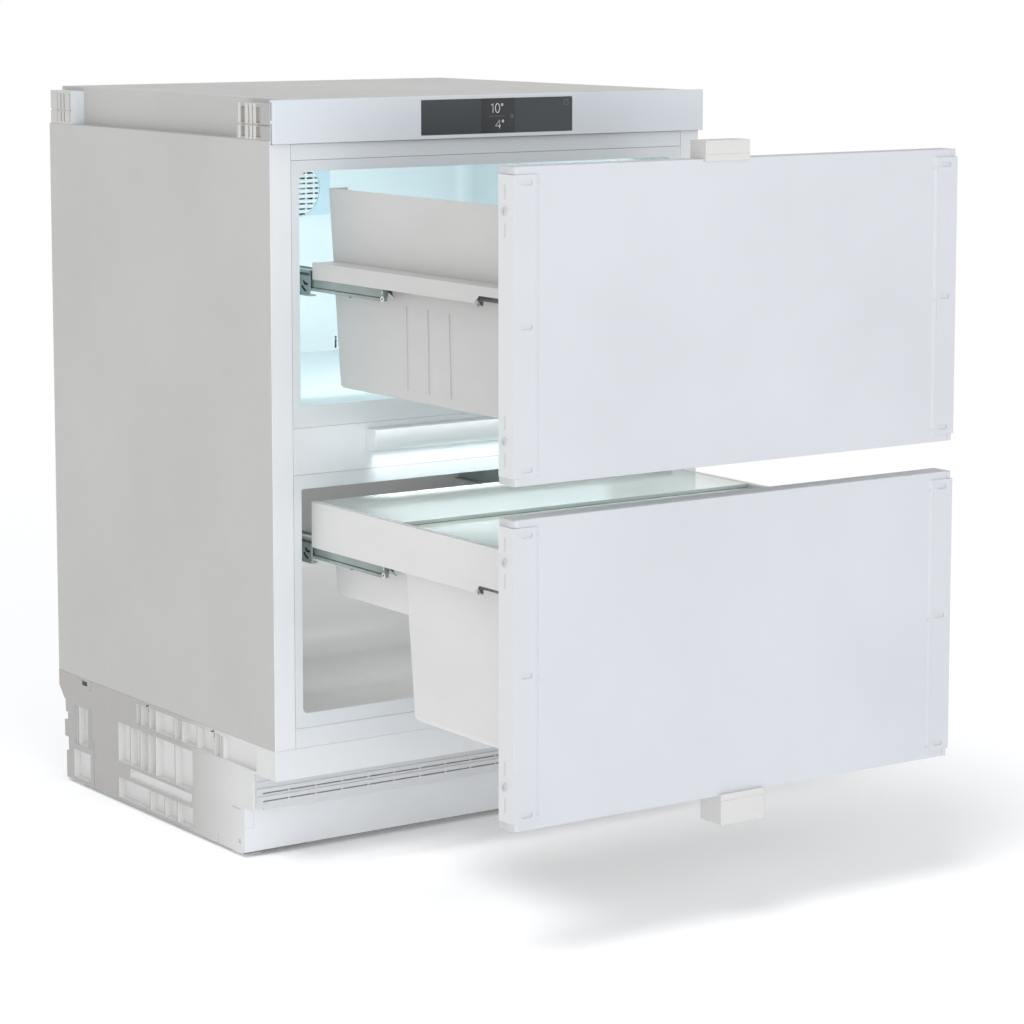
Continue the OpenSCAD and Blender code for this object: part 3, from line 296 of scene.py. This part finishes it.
MATERIALS = {
    # Painted light: the front returns of the side panels are paler than their sides.
    "case_paint": faced(paint, "side_panel_paint", "#cdccc9", "#f2f4f7", CASE_EDGE, 0.44),
    "front_paint": paint("front_frame_paint", "#ecf0f4", 0.38),
    "door_paint": paint("door_sheet_paint", "#d4d7dc", 0.4),
    "upper_liner_plastic": faced(
        moulded, "upper_liner_gloss", "#eaf3f5", "#e7ecef", LINER_EDGE, 0.35, 300.0
    ),
    "lower_liner_plastic": faced(
        moulded, "lower_liner_gloss", "#d2d3d3", "#e7ecef", LINER_EDGE, 0.35, 300.0
    ),
    "drawer_plastic": moulded("drawer_moulding", "#d8d7d5", 0.46),
    "base_plastic": base_moulding("base_moulding"),
    "insulation": moulded("rigid_foam", "#e6dcb4", 0.9, 500.0, 0.0003),
    "lamp_lens_plastic": moulded("lamp_lens_frosted", "#f4fbff", 0.5, 900.0),
    "display_plastic": moulded("display_black", "#43484c", 0.16, 60.0, 0.00001),
    "board": moulded("circuit_board_green", "#2f6a45", 0.5, 700.0, 0.00005),
    "fan_plastic": moulded("fan_black_plastic", "#34363a"),
    "coil_aluminium": metal("fin_aluminium", "#c8cacb", 0.4, (1, 1, 0.05)),
    "black_paint": paint("compressor_black", "#2a2b2d", 0.35),
    "rubber_black": moulded("rubber_matt_black", "#262626", 0.8, 700.0, 0.00006),
    "copper_tube": metal("tube_copper", "#b87a4b", 0.3, (1, 1, 1), 300.0, 0.95),
    "galvanised_steel": metal("plate_galvanised", "#b5b9bb", 0.45, (0.1, 1, 1)),
    # Painted shade: the slide steel turns darker towards the front, in front of about Y -95.
    "slide_steel": blend_over(
        metal("slide_zinc", "#b6c4c1", 0.36, metallic=0.55),
        ("#8b9491", in_front_of(-95.0, 75.0)),
    ),
    "dark_steel": metal("bracket_dark_steel", "#6a6d6e", 0.42, metallic=0.5),
    "foot_plastic": moulded("foot_moulding", "#d8d8d6"),
    "seal_rubber": moulded("gasket_soft_white", "#e2e4e6", 0.62, 500.0),
    "clear_glass": glass("cover_glass", "#dfe9e6"),
}

# Rectangles that get a colour of their own, each as two ends in Y and two in Z, all of them
# painted light or shade: painted shade in the openings of the base's clips, painted
# highlights on the fingers of the spacers and painted shade in their gaps, painted shade in
# the grooves of the head, and a painted shadow along the lower edge of the plinth. The
# spacers' front parts are darker too, a painted shade.
CLIP_OPENING_SHADE = [
    ((461.1, 474.7), (130.8, 136.4)),
    ((299.6, 307.4), (129.2, 136.0)),
    ((139.4, 147.8), (129.2, 136.0)),
]
SPACER_FRONT = 72.6
SPACER_FINGER_HIGHLIGHTS = [((y, y + 6), (829, 869)) for y in (30, 39, 48, 64)]
SPACER_GAP_SHADE = [((y, y + 1.7), (831, 866)) for y in (482, 496.6, 504.9, 514.7)]
HEAD_GROOVE_SHADE = [((-4.4, -2.2), (823, 847.5)), ((-4.4, -2.2), (851, 871))]
PLINTH_FOOT_SHADOW = [((60, 90), (0, 6.4))]

# Painted light: the rails' outer side faces are lighter than their fronts.
RAIL_PAINT = blend_over(
    paint("door_rail_paint", "#d4d7dc", 0.4), ("#e8e9ea", outer_face(293.3, -700.0, 10.0))
)
# Nodes with a finish of their own.
OWN = {
    # Painted shadow along the plinth's lower edge.
    "plinth_panel": blend_over(
        moulded("plinth_moulding", "#f0f2f5"), ("#77777a", within(PLINTH_FOOT_SHADOW))
    ),
    "air_grille": moulded("air_grille_moulding", "#dcdee0"),
    "lower_tub": moulded("lower_drawer_moulding", "#ecebe9", 0.46),
    # Painted light and shade on the spacers: outer faces darker towards the rear, front parts
    # darker, fingers lighter as highlights, gaps darker as shade.
    "corner_spacers": blend_over(
        moulded("spacer_moulding", "#e6eaee"),
        ("#d6d3ce", outer_face(SIDE_FACE, 300.0, 50.0)),
        ("#bdbbb8", in_front_of(SPACER_FRONT)),
        ("#e0ded9", within(SPACER_FINGER_HIGHLIGHTS)),
        ("#9c9a97", within(SPACER_GAP_SHADE)),
    ),
    # Painted shade in the openings of the base's clips.
    "base_frame": blend_over(
        base_moulding("base_frame_moulding"), ("#2b2c2e", within(CLIP_OPENING_SHADE))
    ),
    # Painted shade in the grooves of the head.
    "head_fascia": blend_over(
        paint("head_fascia_paint", "#eaf0f5", 0.38), ("#808283", within(HEAD_GROOVE_SHADE))
    ),
    "upper_door_rails": RAIL_PAINT,
    "lower_door_rails": RAIL_PAINT,
}
for name, node in NODES.items():
    for material_slot in node.material_slots:
        material_slot.material = OWN.get(name, MATERIALS[SLOT_OF[name]])

# Finishes of the pieces.
BLACK_MARK = moulded("slide_stop_black", "#1d2321", 0.5, 900.0)
WHITE_NYLON = moulded("slide_buffer_white", "#f0f2f1", 0.45, 900.0)
# Grey of the bracket clips, also used for the painted shadow wedges beyond the buffers.
CLIP_GREY_AND_SHADE = moulded("clip_grey_and_painted_shade", "#c4c7c6", 0.5, 900.0)
END_GREY = moulded("door_end_grey", "#d9dadb", 0.55)
EDGE_GREY = moulded("door_edge_grey", "#d6d8da", 0.6)
DISPLAY_DARK = moulded("display_section_black", "#33363a", 0.16, 60.0, 0.00001)
GRILLE_BLUE = moulded("grille_plate_pale_blue", "#cfe4ee", 0.35, 300.0)
READOUT = glowing("readout_white", "#d8dadc", 0.25)
ICON = glowing("icon_grey", "#85888b", 0.05)
DOOR_PAINT = MATERIALS["door_paint"]
FRONT_PAINT = MATERIALS["front_paint"]
SLIDE_STEEL = MATERIALS["slide_steel"]
DARK_STEEL = MATERIALS["dark_steel"]


# ---- Rounded edges of the solids ------------------------------------------------------


def add_bevel(obj, width):
    """Rounds the sharp edges of an object by a width in millimetres."""
    bevel = obj.modifiers.new("edges", "BEVEL")
    bevel.width = width * MM
    bevel.segments = 2
    bevel.limit_method = "ANGLE"
    bevel.angle_limit = math.radians(35)
    bevel.harden_normals = True


def round_edges(obj, width):
    """Merges flat faces and rounds the sharp edges of a part, without moving its faces."""
    weld = obj.modifiers.new("weld", "WELD")
    weld.merge_threshold = 0.000002
    flat = obj.modifiers.new("flat", "DECIMATE")
    flat.decimate_type = "DISSOLVE"
    flat.angle_limit = math.radians(0.5)
    add_bevel(obj, width)


# Nodes by the width of their rounded edges, in millimetres.
EDGE_WIDTHS = {
    0.25: ["display_window"],
    0.3: [
        "cabinet_slides",
        "upper_middle_slides",
        "lower_middle_slides",
        "upper_drawer_slides",
        "lower_drawer_slides",
    ],
    0.4: ["glass_cover"],
    0.45: ["upper_door_panel", "lower_door_panel"],
    0.5: [
        "left_side_panel",
        "right_side_panel",
        "front_rails",
        "middle_panel",
        "air_grille",
        "upper_door_rails",
        "lower_door_rails",
    ],
    0.6: ["corner_spacers", "plinth_panel"],
    0.7: ["lamp_housing", "upper_slide_covers"],
    0.8: ["top_cover", "upper_fitting_aid", "lower_fitting_aid"],
    0.9: ["upper_tub", "lower_tub"],
    1.0: ["head_fascia"],
}
for width, names in EDGE_WIDTHS.items():
    for name in names:
        round_edges(NODES[name], width)


# ---- Tools for pieces -----------------------------------------------------------------

# Places of an outline's two coordinates and its height in (x, y, z), by axis of the sweep.
AXIS_ORDER = {"x": (2, 0, 1), "y": (0, 2, 1), "z": (0, 1, 2)}


def at(x, y, z):
    """A point of the cabinet's own frame, in millimetres, as a point of the scene."""
    return Vector((x * MM, (y + ROW_SHIFT) * MM, z * MM))


def circle(sides):
    """Cosine and sine of equal steps round a full turn."""
    steps = [2 * math.pi * i / sides for i in range(sides)]
    return [(math.cos(a), math.sin(a)) for a in steps]


def ellipse(x, z, half_x, half_z, sides=28):
    return [(x + half_x * c, z + half_z * s) for c, s in circle(sides)]


class Form:
    """A mesh built up from prisms and rods, in the millimetres of the cabinet's own frame."""

    def __init__(self):
        self.bm = bmesh.new()

    def ring(self, axis, outline, w):
        """Vertices of an outline in the two other axes, at one place along the axis."""
        order = AXIS_ORDER[axis]
        sources = [(u, v, w) for u, v in outline]
        return [self.bm.verts.new(at(*[source[i] for i in order])) for source in sources]

    def wall(self, first, last):
        """Faces between two rings."""
        count = len(first)
        for i in range(count):
            j = (i + 1) % count
            self.bm.faces.new((first[i], first[j], last[j], last[i]))

    def prism(self, axis, outline, low, high):
        """An outline in the two other axes, swept from low to high."""
        first, last = self.ring(axis, outline, low), self.ring(axis, outline, high)
        self.bm.faces.new(first)
        self.bm.faces.new(last)
        self.wall(first, last)
        return self

    def box(self, x, y, z):
        corners = [(x[0], y[0]), (x[1], y[0]), (x[1], y[1]), (x[0], y[1])]
        return self.prism("z", corners, z[0], z[1])

    def rod(self, axis, centre, radius, low, high, sides):
        return self.prism(axis, ellipse(*centre, radius, radius, sides), low, high)

    def tube(self, axis, centre, outer, inner, low, high, sides=32):
        """A ring round an axis: outer and inner are radii."""
        rings = [
            self.ring(axis, ellipse(*centre, radius, radius, sides), w)
            for radius, w in ((outer, low), (outer, high), (inner, high), (inner, low))
        ]
        for k in range(4):
            self.wall(rings[k], rings[(k + 1) % 4])
        return self

    def holed_plate(self, centre, radius, x, z, y, sides=64):
        """A plate between two planes along Y, with a straight outline and a round hole."""
        rings = []
        for w in y:
            hole, rim = [], []
            for dx, dz in circle(sides):
                hole.append((centre[0] + radius * dx, centre[1] + radius * dz))
                reach = []
                if abs(dx) > 1e-6:
                    reach.append(((x[1] if dx > 0 else x[0]) - centre[0]) / dx)
                if abs(dz) > 1e-6:
                    reach.append(((z[1] if dz > 0 else z[0]) - centre[1]) / dz)
                r = min(reach)
                rim.append((centre[0] + r * dx, centre[1] + r * dz))
            rings.append((self.ring("y", hole, w), self.ring("y", rim, w)))
        for hole, rim in rings:
            self.wall(hole, rim)
        for front, back in zip(*rings):
            self.wall(front, back)
        return self

    def both_sides(self):
        """Adds the mirror image across the middle of the cabinet."""
        everything = self.bm.verts[:] + self.bm.edges[:] + self.bm.faces[:]
        copy = bmesh.ops.duplicate(self.bm, geom=everything)
        for item in copy["geom"]:
            if isinstance(item, bmesh.types.BMVert):
                item.co.x = -item.co.x
        return self

    def piece(self, name, body, slot, mat, edge=0.2):
        """Makes the piece: edge is the width of its rounded edges, 0 for sharp ones."""
        bmesh.ops.recalc_face_normals(self.bm, faces=self.bm.faces[:])
        mesh = bpy.data.meshes.new(name)
        self.bm.to_mesh(mesh)
        self.bm.free()
        mesh.materials.append(mat)
        obj = bpy.data.objects.new(name, mesh)
        scene.collection.objects.link(obj)
        if edge:
            add_bevel(obj, edge)
        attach(obj, body)


# ---- Display --------------------------------------------------------------------------

DISPLAY_FACE = -9.3
MARKS_Y = -9.45


def strokes(name, lines, thickness, mat):
    """Thin marks drawn as curves in front of the display; lines are lists of (x, z)."""
    data = bpy.data.curves.new(name, "CURVE")
    data.dimensions = "3D"
    data.bevel_depth = thickness / 2 * MM
    data.bevel_resolution = 2
    data.use_fill_caps = True
    for points, closed in lines:
        spline = data.splines.new("POLY")
        spline.points.add(len(points) - 1)
        spline.use_cyclic_u = closed
        for point, (x, z) in zip(spline.points, points):
            place = at(x, MARKS_Y, z)
            point.co = (place.x, place.y, place.z, 1.0)
    data.materials.append(mat)
    obj = bpy.data.objects.new(name, data)
    scene.collection.objects.link(obj)
    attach(obj, "cabinet")


# A darker middle section, two plain readings, a divider and two small marks.
Form().box((-23.5, 23.5), (-9.46, DISPLAY_FACE), (829.9, 869.0)).piece(
    "display_section", "cabinet", "display_plastic", DISPLAY_DARK, 0.0
)
strokes(
    "display_readings",
    [
        ([(-9.6, 861.4), (-7.2, 863.4), (-7.2, 852.9)], False),
        (ellipse(-0.9, 858.15, 2.9, 5.2), True),
        (ellipse(5.6, 861.9, 1.0, 1.2, 16), True),
        ([(1.9, 834.9), (1.9, 844.4), (-3.9, 837.6), (3.4, 837.6)], False),
        (ellipse(6.6, 843.0, 1.0, 1.2, 16), True),
    ],
    1.0,
    READOUT,
)
strokes(
    "display_marks",
    [
        ([(-13.0, 848.9), (9.5, 848.9)], False),
        (ellipse(19.3, 848.9, 2.3, 2.3), True),
        (ellipse(19.3, 848.9, 0.9, 0.9, 12), True),
        ([(93.4, 860.4), (93.4, 866.0), (98.6, 866.0)], False),
        ([(98.6, 863.6), (98.6, 860.4), (93.4, 860.4)], False),
        ([(96.2, 863.2), (98.9, 865.9)], False),
    ],
    0.45,
    ICON,
)


# ---- Head, rear wall and air grille ---------------------------------------------------

# Light tabs that fill the clip slots of the top cover.
TAB_PITCH = 96
TAB_HALF = 10.4
tabs = Form()
for i in range(6):
    middle = (i - 2.5) * TAB_PITCH
    tabs.box((middle - TAB_HALF, middle + TAB_HALF), (7.9, 10.1), (871.2, 873.3))
tabs.piece("head_clips", "cabinet", "front_paint", FRONT_PAINT)

# Raised plate round the air grille of the rear wall, and the seam of the duct cover.
REAR_WALL = 450.02
FAN_AT = (0.0, 740.0)
Form().holed_plate(FAN_AT, 37.0, (-52.0, 52.0), (706.0, 786.5), (448.6, REAR_WALL)).piece(
    "grille_plate", "cabinet", "upper_liner_plastic", GRILLE_BLUE, 0.3
)
Form().box((-240, 240), (449.4, REAR_WALL), (544.4, 545.6)).piece(
    "duct_cover_seam", "cabinet", "upper_liner_plastic", MATERIALS["upper_liner_plastic"], 0.2
)

# Slanted blades behind the slots of the front air grille.
BLADE = [(52.7, -0.9), (57.4, 3.4), (57.4, 2.4), (52.7, -1.9)]
blades = Form()
for slot_z in (70.0, 79.5):
    blades.prism("x", [(y, slot_z + z) for y, z in BLADE], -285, 285)
blades.piece("louvre_blades", "cabinet", "base_plastic", OWN["air_grille"], 0.1)


# ---- Telescopic slides ----------------------------------------------------------------

# Every mark sits on the outer face of the member that carries it and reaches a little way
# in. These are the inner ends of the marks on the left, as X.
IN_CABINET_MEMBER = -244.9
IN_MIDDLE_MEMBER = -240.9
IN_MIDDLE_FLANGE = -242.3
IN_DRAWER_BRACKET = -233.9
IN_DRAWER_CLIP = -234.1
MEMBER_Y = (6.1, 439)

# Outlines in Y and in Z above the band, the height that a slide's marks are measured from.
STOP_TONGUE = [(20, -3), (17.5, -2.6), (16, -4.6), (8, -6.2), (13, -8.2), (18, -7)]
STOP_HOOK = [(24, -9.6), (21.5, -8.6), (16.4, -12), (12.6, -14.4), (14.5, -15.4), (19.5, -13.4)]
# Outline of the painted shadow beyond the buffer.
BUFFER_SHADOW_WEDGE = [(-160.5, -9.2), (-145.0, -9.2), (-145.0, -3.4)]
# Outline of a dark slanted bar: painted shadow of the notch's edge.
NOTCH_EDGE_SHADOW = [(-319.9, 8.2), (-317.9, 8.2), (-312.2, 1.1), (-314.6, 1.1)]


def cabinet_member_marks(level, band):
    """Beads, a dark strip of painted shade along a groove, and the black stop."""

    def above(outline):
        return [(y, band + z) for y, z in outline]

    inner = IN_CABINET_MEMBER
    beads = Form()
    beads.box((-245.3, inner), MEMBER_Y, (band + 6.4, band + 9.4))
    beads.box((-245.4, inner), MEMBER_Y, (band - 11.5, band - 10.2))
    beads.box((-245.6, inner), (6.1, 34), (band - 19.9, band - 16.9))
    beads.both_sides().piece(
        level + "_cabinet_slide_beads", "cabinet", "slide_steel", SLIDE_STEEL, 0.3
    )
    # A dark strip that paints the shade of the groove.
    groove = Form().box((-245.15, inner), MEMBER_Y, (band + 3.0, band + 6.2))
    groove.both_sides().piece(
        level + "_cabinet_slide_groove_shade", "cabinet", "dark_steel", DARK_STEEL, 0.0
    )
    stop = Form()
    stop.prism("x", above(STOP_TONGUE), -245.5, inner)
    stop.prism("x", above(STOP_HOOK), -245.5, inner)
    stop.rod("x", (25.6, band - 17.9), 1.1, -245.8, inner, 16)
    stop.both_sides().piece(level + "_slide_stop", "cabinet", "fan_plastic", BLACK_MARK, 0.1)


def middle_member_marks(level, band):
    """A dark line that paints the shadow above the lip, a small dark nub, the buffer with its core,
    and a grey wedge that paints the shadow beyond the buffer.
    """
    body = level + "_middle"
    buffer_at = (-142.3, band - 11.0)
    hole_radius = 1.5
    # A dark strip that paints the shadow above the lip, with a small dark nub.
    line = Form().box((-241.2, IN_MIDDLE_MEMBER), (-139, 222), (band - 10.6, band - 9.8))
    line.box((-242.6, IN_MIDDLE_MEMBER), (-76.6, -73.6), (band - 15.0, band - 14.0))
    line.both_sides().piece(level + "_middle_slide_shadow_line_and_nub", body, "dark_steel", DARK_STEEL, 0.0)
    buffer = Form().tube("x", buffer_at, 3.1, hole_radius, -243.2, IN_MIDDLE_FLANGE)
    buffer.box((-243.0, IN_MIDDLE_FLANGE), (-142.9, -141.5), (band - 5.2, band - 1.8))
    buffer.both_sides().piece(level + "_slide_buffer", body, "drawer_plastic", WHITE_NYLON, 0.15)
    core = Form().rod("x", buffer_at, hole_radius, -242.9, IN_MIDDLE_FLANGE, 20)
    core.both_sides().piece(level + "_slide_buffer_core", body, "fan_plastic", BLACK_MARK, 0.0)
    # A grey wedge that paints the shadow beyond the buffer.
    shadow_wedge = Form().prism("x", [(y, band + z) for y, z in BUFFER_SHADOW_WEDGE], -237.5, -236.0)
    shadow_wedge.both_sides().piece(level + "_buffer_shadow_wedge", body, "drawer_plastic", CLIP_GREY_AND_SHADE, 0.3)


def drawer_member_marks(level, band):
    """Ribs of the door bracket, a dark slanted bar that paints the shadow of the notch's edge, and
    the clip that holds it.
    """
    body = level + "_drawer"
    inner = IN_DRAWER_BRACKET
    ribs = Form()
    ribs.box((-234.5, inner), (-437.5, -323.4), (band + 5.9, band + 7.2))
    ribs.box((-234.4, inner), (-437.5, -324.2), (band + 3.3, band + 4.4))
    # Painted shadow of the notch's edge.
    ribs.prism("x", [(y, band + z) for y, z in NOTCH_EDGE_SHADOW], -235.0, inner)
    ribs.both_sides().piece(level + "_bracket_ribs_and_notch_shadow", body, "dark_steel", DARK_STEEL, 0.2)
    clip = Form().tube("x", (-317.5, band - 2.8), 2.6, 1.5, -235.6, IN_DRAWER_CLIP, 24)
    clip.box((-235.2, IN_DRAWER_CLIP), (-324.6, -321.0), (band - 4.8, band - 3.3))
    clip.both_sides().piece(level + "_bracket_clip", body, "drawer_plastic", CLIP_GREY_AND_SHADE, 0.15)


for level, band in (("upper", 673.0), ("lower", 369.0)):
    cabinet_member_marks(level, band)
    middle_member_marks(level, band)
    drawer_member_marks(level, band)


# ---- Doors ----------------------------------------------------------------------------

DOOR_HEIGHT = 320.0
SLOT_X = 277.5  # middle of the fixing slots
RAIL_FACE = -464.95  # Y of the rails' front, which shoulders and lugs stand on
SHOULDER = [(-266.2, -466.55), (-263.4, -465.9), (-261.2, RAIL_FACE), (-266.2, RAIL_FACE)]
LUG = [
    (-266.4, -466.7),
    (-262.6, -466.5),
    (-261.6, -465.9),
    (-261.6, RAIL_FACE),
    (-266.4, RAIL_FACE),
]
END_CAP = [
    (-286.2, -465.9),
    (-289.4, -465.7),
    (-291.6, -464.4),
    (-292.6, -462.0),
    (-292.7, -454.0),
    (-291.5, -454.0),
    (-291.5, -464.9),
    (-286.2, -464.9),
]


def door_trim(level, z0):
    """Shoulders along the rails, plates behind their slots, lugs, end caps, top edge."""
    body = level + "_drawer"
    low, high, middle = z0 + 8.0, z0 + 312.0, z0 + DOOR_HEIGHT / 2
    fixings = [middle - 144, middle, middle + 144]
    side_slots = [middle - 134.5, middle - 96.5, middle + 96.5, middle + 134.5]

    shoulders = Form().prism("z", SHOULDER, low, high)
    shoulders.both_sides().piece(level + "_rail_shoulders", body, "door_paint", DOOR_PAINT, 0.25)
    plates = Form()
    for z in fixings:
        plates.box((-SLOT_X - 8.3, -SLOT_X + 8.3), (-465.5, -464.4), (z - 4.1, z + 4.1))
    plates.both_sides().piece(level + "_slot_plates", body, "door_paint", DOOR_PAINT, 0.3)
    backs = Form()
    for z in side_slots:
        backs.box((-293.25, -291.75), (-453.0, -449.8), (z - 7.0, z + 7.0))
    backs.both_sides().piece(level + "_side_slot_plates", body, "door_paint", RAIL_PAINT, 0.3)
    lugs = Form()
    for z in fixings:
        lugs.prism("z", LUG, z - 5.5, z - 1.5)
    lugs.both_sides().piece(level + "_rail_lugs", body, "door_paint", DOOR_PAINT, 0.5)
    caps = Form()
    caps.prism("z", END_CAP, z0 + 0.3, low - 0.3)
    caps.prism("z", END_CAP, high + 0.3, z0 + 319.7)
    caps.both_sides().piece(level + "_door_end_caps", body, "drawer_plastic", END_GREY, 0.3)
    top = z0 + DOOR_HEIGHT
    strip = Form().box((-290.0, 290.0), (-463.6, -441.2), (top - 0.1, top + 0.25))
    strip.piece(level + "_door_edge", body, "seal_rubber", EDGE_GREY, 0.1)


for level, z0 in (("upper", 502.4), ("lower", 148.3)):
    door_trim(level, z0)


# ---- Camera ---------------------------------------------------------------------------

CAMERA_AT = Vector((-2.12036, -3.15192, 1.0135))
CAMERA_YAW = 0.6029
CAMERA_PITCH = -0.1241


def aim(obj, direction):
    """Turns a camera or lamp to look along a direction."""
    obj.rotation_euler = direction.to_track_quat("-Z", "Y").to_euler()


camera_data = bpy.data.cameras.new("camera")
camera_data.lens = 114.692
camera_data.shift_y = -0.13
camera_data.sensor_width = 36
camera_data.clip_end = 200
camera = bpy.data.objects.new("camera", camera_data)
camera.location = CAMERA_AT
level_reach = math.cos(CAMERA_PITCH)
aim(
    camera,
    Vector(
        (
            math.sin(CAMERA_YAW) * level_reach,
            math.cos(CAMERA_YAW) * level_reach,
            math.sin(CAMERA_PITCH),
        )
    ),
)
scene.collection.objects.link(camera)
scene.camera = camera
scene.view_settings.view_transform = "Standard"


# ---- World, floor and light -----------------------------------------------------------

WORLD_COLOUR = (0.96, 0.98, 1.0, 1.0)
WORLD_STRENGTH = 0.62
WHITE = (1, 1, 1, 1)
FLOOR_HALF = 30
FLOOR_GLOW = 0.15
FLOOR_FADE = (1.4, 3.2)  # metres from the middle over which the floor turns plain white


def seen_directly(tree):
    """1 for camera, glossy and transmission rays, 0 for the rays that light the object."""
    path = tree.nodes.new("ShaderNodeLightPath")
    value = path.outputs["Is Camera Ray"]
    for name in ("Is Glossy Ray", "Is Transmission Ray"):
        value = math_node(tree, "MAXIMUM", value, path.outputs[name]).outputs[0]
    return value


def make_world():
    world = bpy.data.worlds.new("studio")
    scene.world = world
    world.use_nodes = True
    tree = world.node_tree
    tree.nodes.clear()
    add, link = tree.nodes.new, tree.links.new
    out = add("ShaderNodeOutputWorld")
    mix = add("ShaderNodeMixShader")
    lit = add("ShaderNodeBackground")
    lit.inputs["Color"].default_value = WORLD_COLOUR
    lit.inputs["Strength"].default_value = WORLD_STRENGTH
    white = add("ShaderNodeBackground")
    white.inputs["Color"].default_value = WHITE
    white.inputs["Strength"].default_value = 1.0
    link(seen_directly(tree), mix.inputs[0])
    link(lit.outputs[0], mix.inputs[1])
    link(white.outputs[0], mix.inputs[2])
    link(mix.outputs[0], out.inputs[0])


def floor_material():
    """Pale floor that takes the shadow near the object and is plain white further out."""
    mat = bpy.data.materials.new("floor_pale")
    mat.use_nodes = True
    tree = mat.node_tree
    tree.nodes.clear()
    add, link = tree.nodes.new, tree.links.new
    out = add("ShaderNodeOutputMaterial")
    coords = add("ShaderNodeTexCoord")
    noise = add("ShaderNodeTexNoise")
    noise.inputs["Scale"].default_value = 1.5
    ramp = add("ShaderNodeValToRGB")
    ramp.color_ramp.elements[0].color = (0.88, 0.88, 0.885, 1)
    ramp.color_ramp.elements[1].color = (0.9, 0.9, 0.9, 1)
    diffuse = add("ShaderNodeBsdfDiffuse")
    glow = add("ShaderNodeEmission")
    glow.inputs["Color"].default_value = WHITE
    lit = add("ShaderNodeAddShader")
    far = add("ShaderNodeEmission")
    length = add("ShaderNodeVectorMath")
    length.operation = "LENGTH"
    fade = add("ShaderNodeMapRange")
    fade.inputs["From Min"].default_value = FLOOR_FADE[0]
    fade.inputs["From Max"].default_value = FLOOR_FADE[1]
    blend = add("ShaderNodeMixShader")
    strength = math_node(tree, "MULTIPLY", seen_directly(tree))
    strength.inputs[1].default_value = FLOOR_GLOW
    link(coords.outputs["Object"], noise.inputs["Vector"])
    link(noise.outputs["Fac"], ramp.inputs["Fac"])
    link(ramp.outputs["Color"], diffuse.inputs["Color"])
    link(strength.outputs[0], glow.inputs["Strength"])
    link(diffuse.outputs[0], lit.inputs[0])
    link(glow.outputs[0], lit.inputs[1])
    link(coords.outputs["Object"], length.inputs[0])
    link(length.outputs["Value"], fade.inputs["Value"])
    link(fade.outputs["Result"], blend.inputs[0])
    link(lit.outputs[0], blend.inputs[1])
    link(far.outputs[0], blend.inputs[2])
    link(blend.outputs[0], out.inputs["Surface"])
    return mat


def make_floor():
    half = FLOOR_HALF
    corners = [(-half, -half, 0), (half, -half, 0), (half, half, 0), (-half, half, 0)]
    mesh = bpy.data.meshes.new("studio_floor")
    mesh.from_pydata(corners, [], [(0, 1, 2, 3)])
    mesh.materials.append(floor_material())
    floor = bpy.data.objects.new("studio_floor", mesh)
    scene.collection.objects.link(floor)
    return floor


def area_light(name, place, target, size, power, colour=(1, 1, 1), spread=180.0):
    data = bpy.data.lights.new(name, "AREA")
    data.shape = "RECTANGLE"
    data.size, data.size_y = size
    data.energy = power
    data.color = colour
    data.spread = math.radians(spread)
    light = bpy.data.objects.new(name, data)
    light.location = place
    aim(light, Vector(target) - Vector(place))
    light.visible_camera = False
    scene.collection.objects.link(light)


def sun_for_shadow(floor):
    """A soft sun that lights the floor only, for the object's shadow."""
    data = bpy.data.lights.new("floor_sun", "SUN")
    data.energy = 1.12
    data.angle = math.radians(24)
    sun = bpy.data.objects.new("floor_sun", data)
    aim(sun, Vector((1.8, 1.0, -3.4)))
    scene.collection.objects.link(sun)
    lit = bpy.data.collections.new("lit_by_floor_sun")
    lit.objects.link(floor)
    sun.light_linking.receiver_collection = lit


make_world()
studio_floor = make_floor()

# Studio lamps, in metres.
area_light("front_softbox", (-0.6, -4.2, 2.4), (0, -0.1, 0.5), (2.6, 2.0), 22.5, (0.96, 0.985, 1.0))
area_light("low_softbox", (-1.0, -4.0, 0.35), (0, 0, 0.2), (3.2, 0.6), 25)
area_light("side_softbox", (-2.6, -2.2, 0.9), (0, 0, 0.45), (1.6, 1.5), 5.2, (1.0, 0.99, 0.975))
area_light("top_softbox", (-1.2, -1.1, 3.4), (0, 0, 0.3), (1.6, 1.6), 4)
sun_for_shadow(studio_floor)

# Lamps inside the cabinet: those of both compartments, and fills for the photo's even light.
INNER_LAMPS = {
    "upper_lamp": (at(0, 130, 791), at(0, 180, 560), (0.42, 0.22), 0.5, (0.9, 0.975, 1.0), 170),
    "upper_fill": (at(0, 60, 690), at(0, 400, 640), (0.5, 0.25), 0.56, (0.93, 0.985, 1.0), 170),
    "lower_fill": (at(0, 60, 330), at(0, 450, 360), (0.46, 0.2), 0.16, (1, 1, 1), 170),
    "ceiling_fill": (at(0, 60, 434), at(0, 120, 200), (0.42, 0.1), 0.5, (1, 1, 1), 170),
    "lid_fill": (at(0, -185, 520), at(0, -185, 420), (0.44, 0.27), 0.2, (0.97, 1.0, 0.99), 60),
    "gap_fill": (at(0, -26, 499), at(0, -2, 468), (0.5, 0.012), 0.014, (1, 1, 1), 180),
    "lamp_bar": (at(0, -6, 473.6), at(0, -5.4, 400), (0.334, 0.008), 0.08, (0.9, 0.97, 1.0), 62),
}
for name, lamp in INNER_LAMPS.items():
    area_light(name, *lamp)
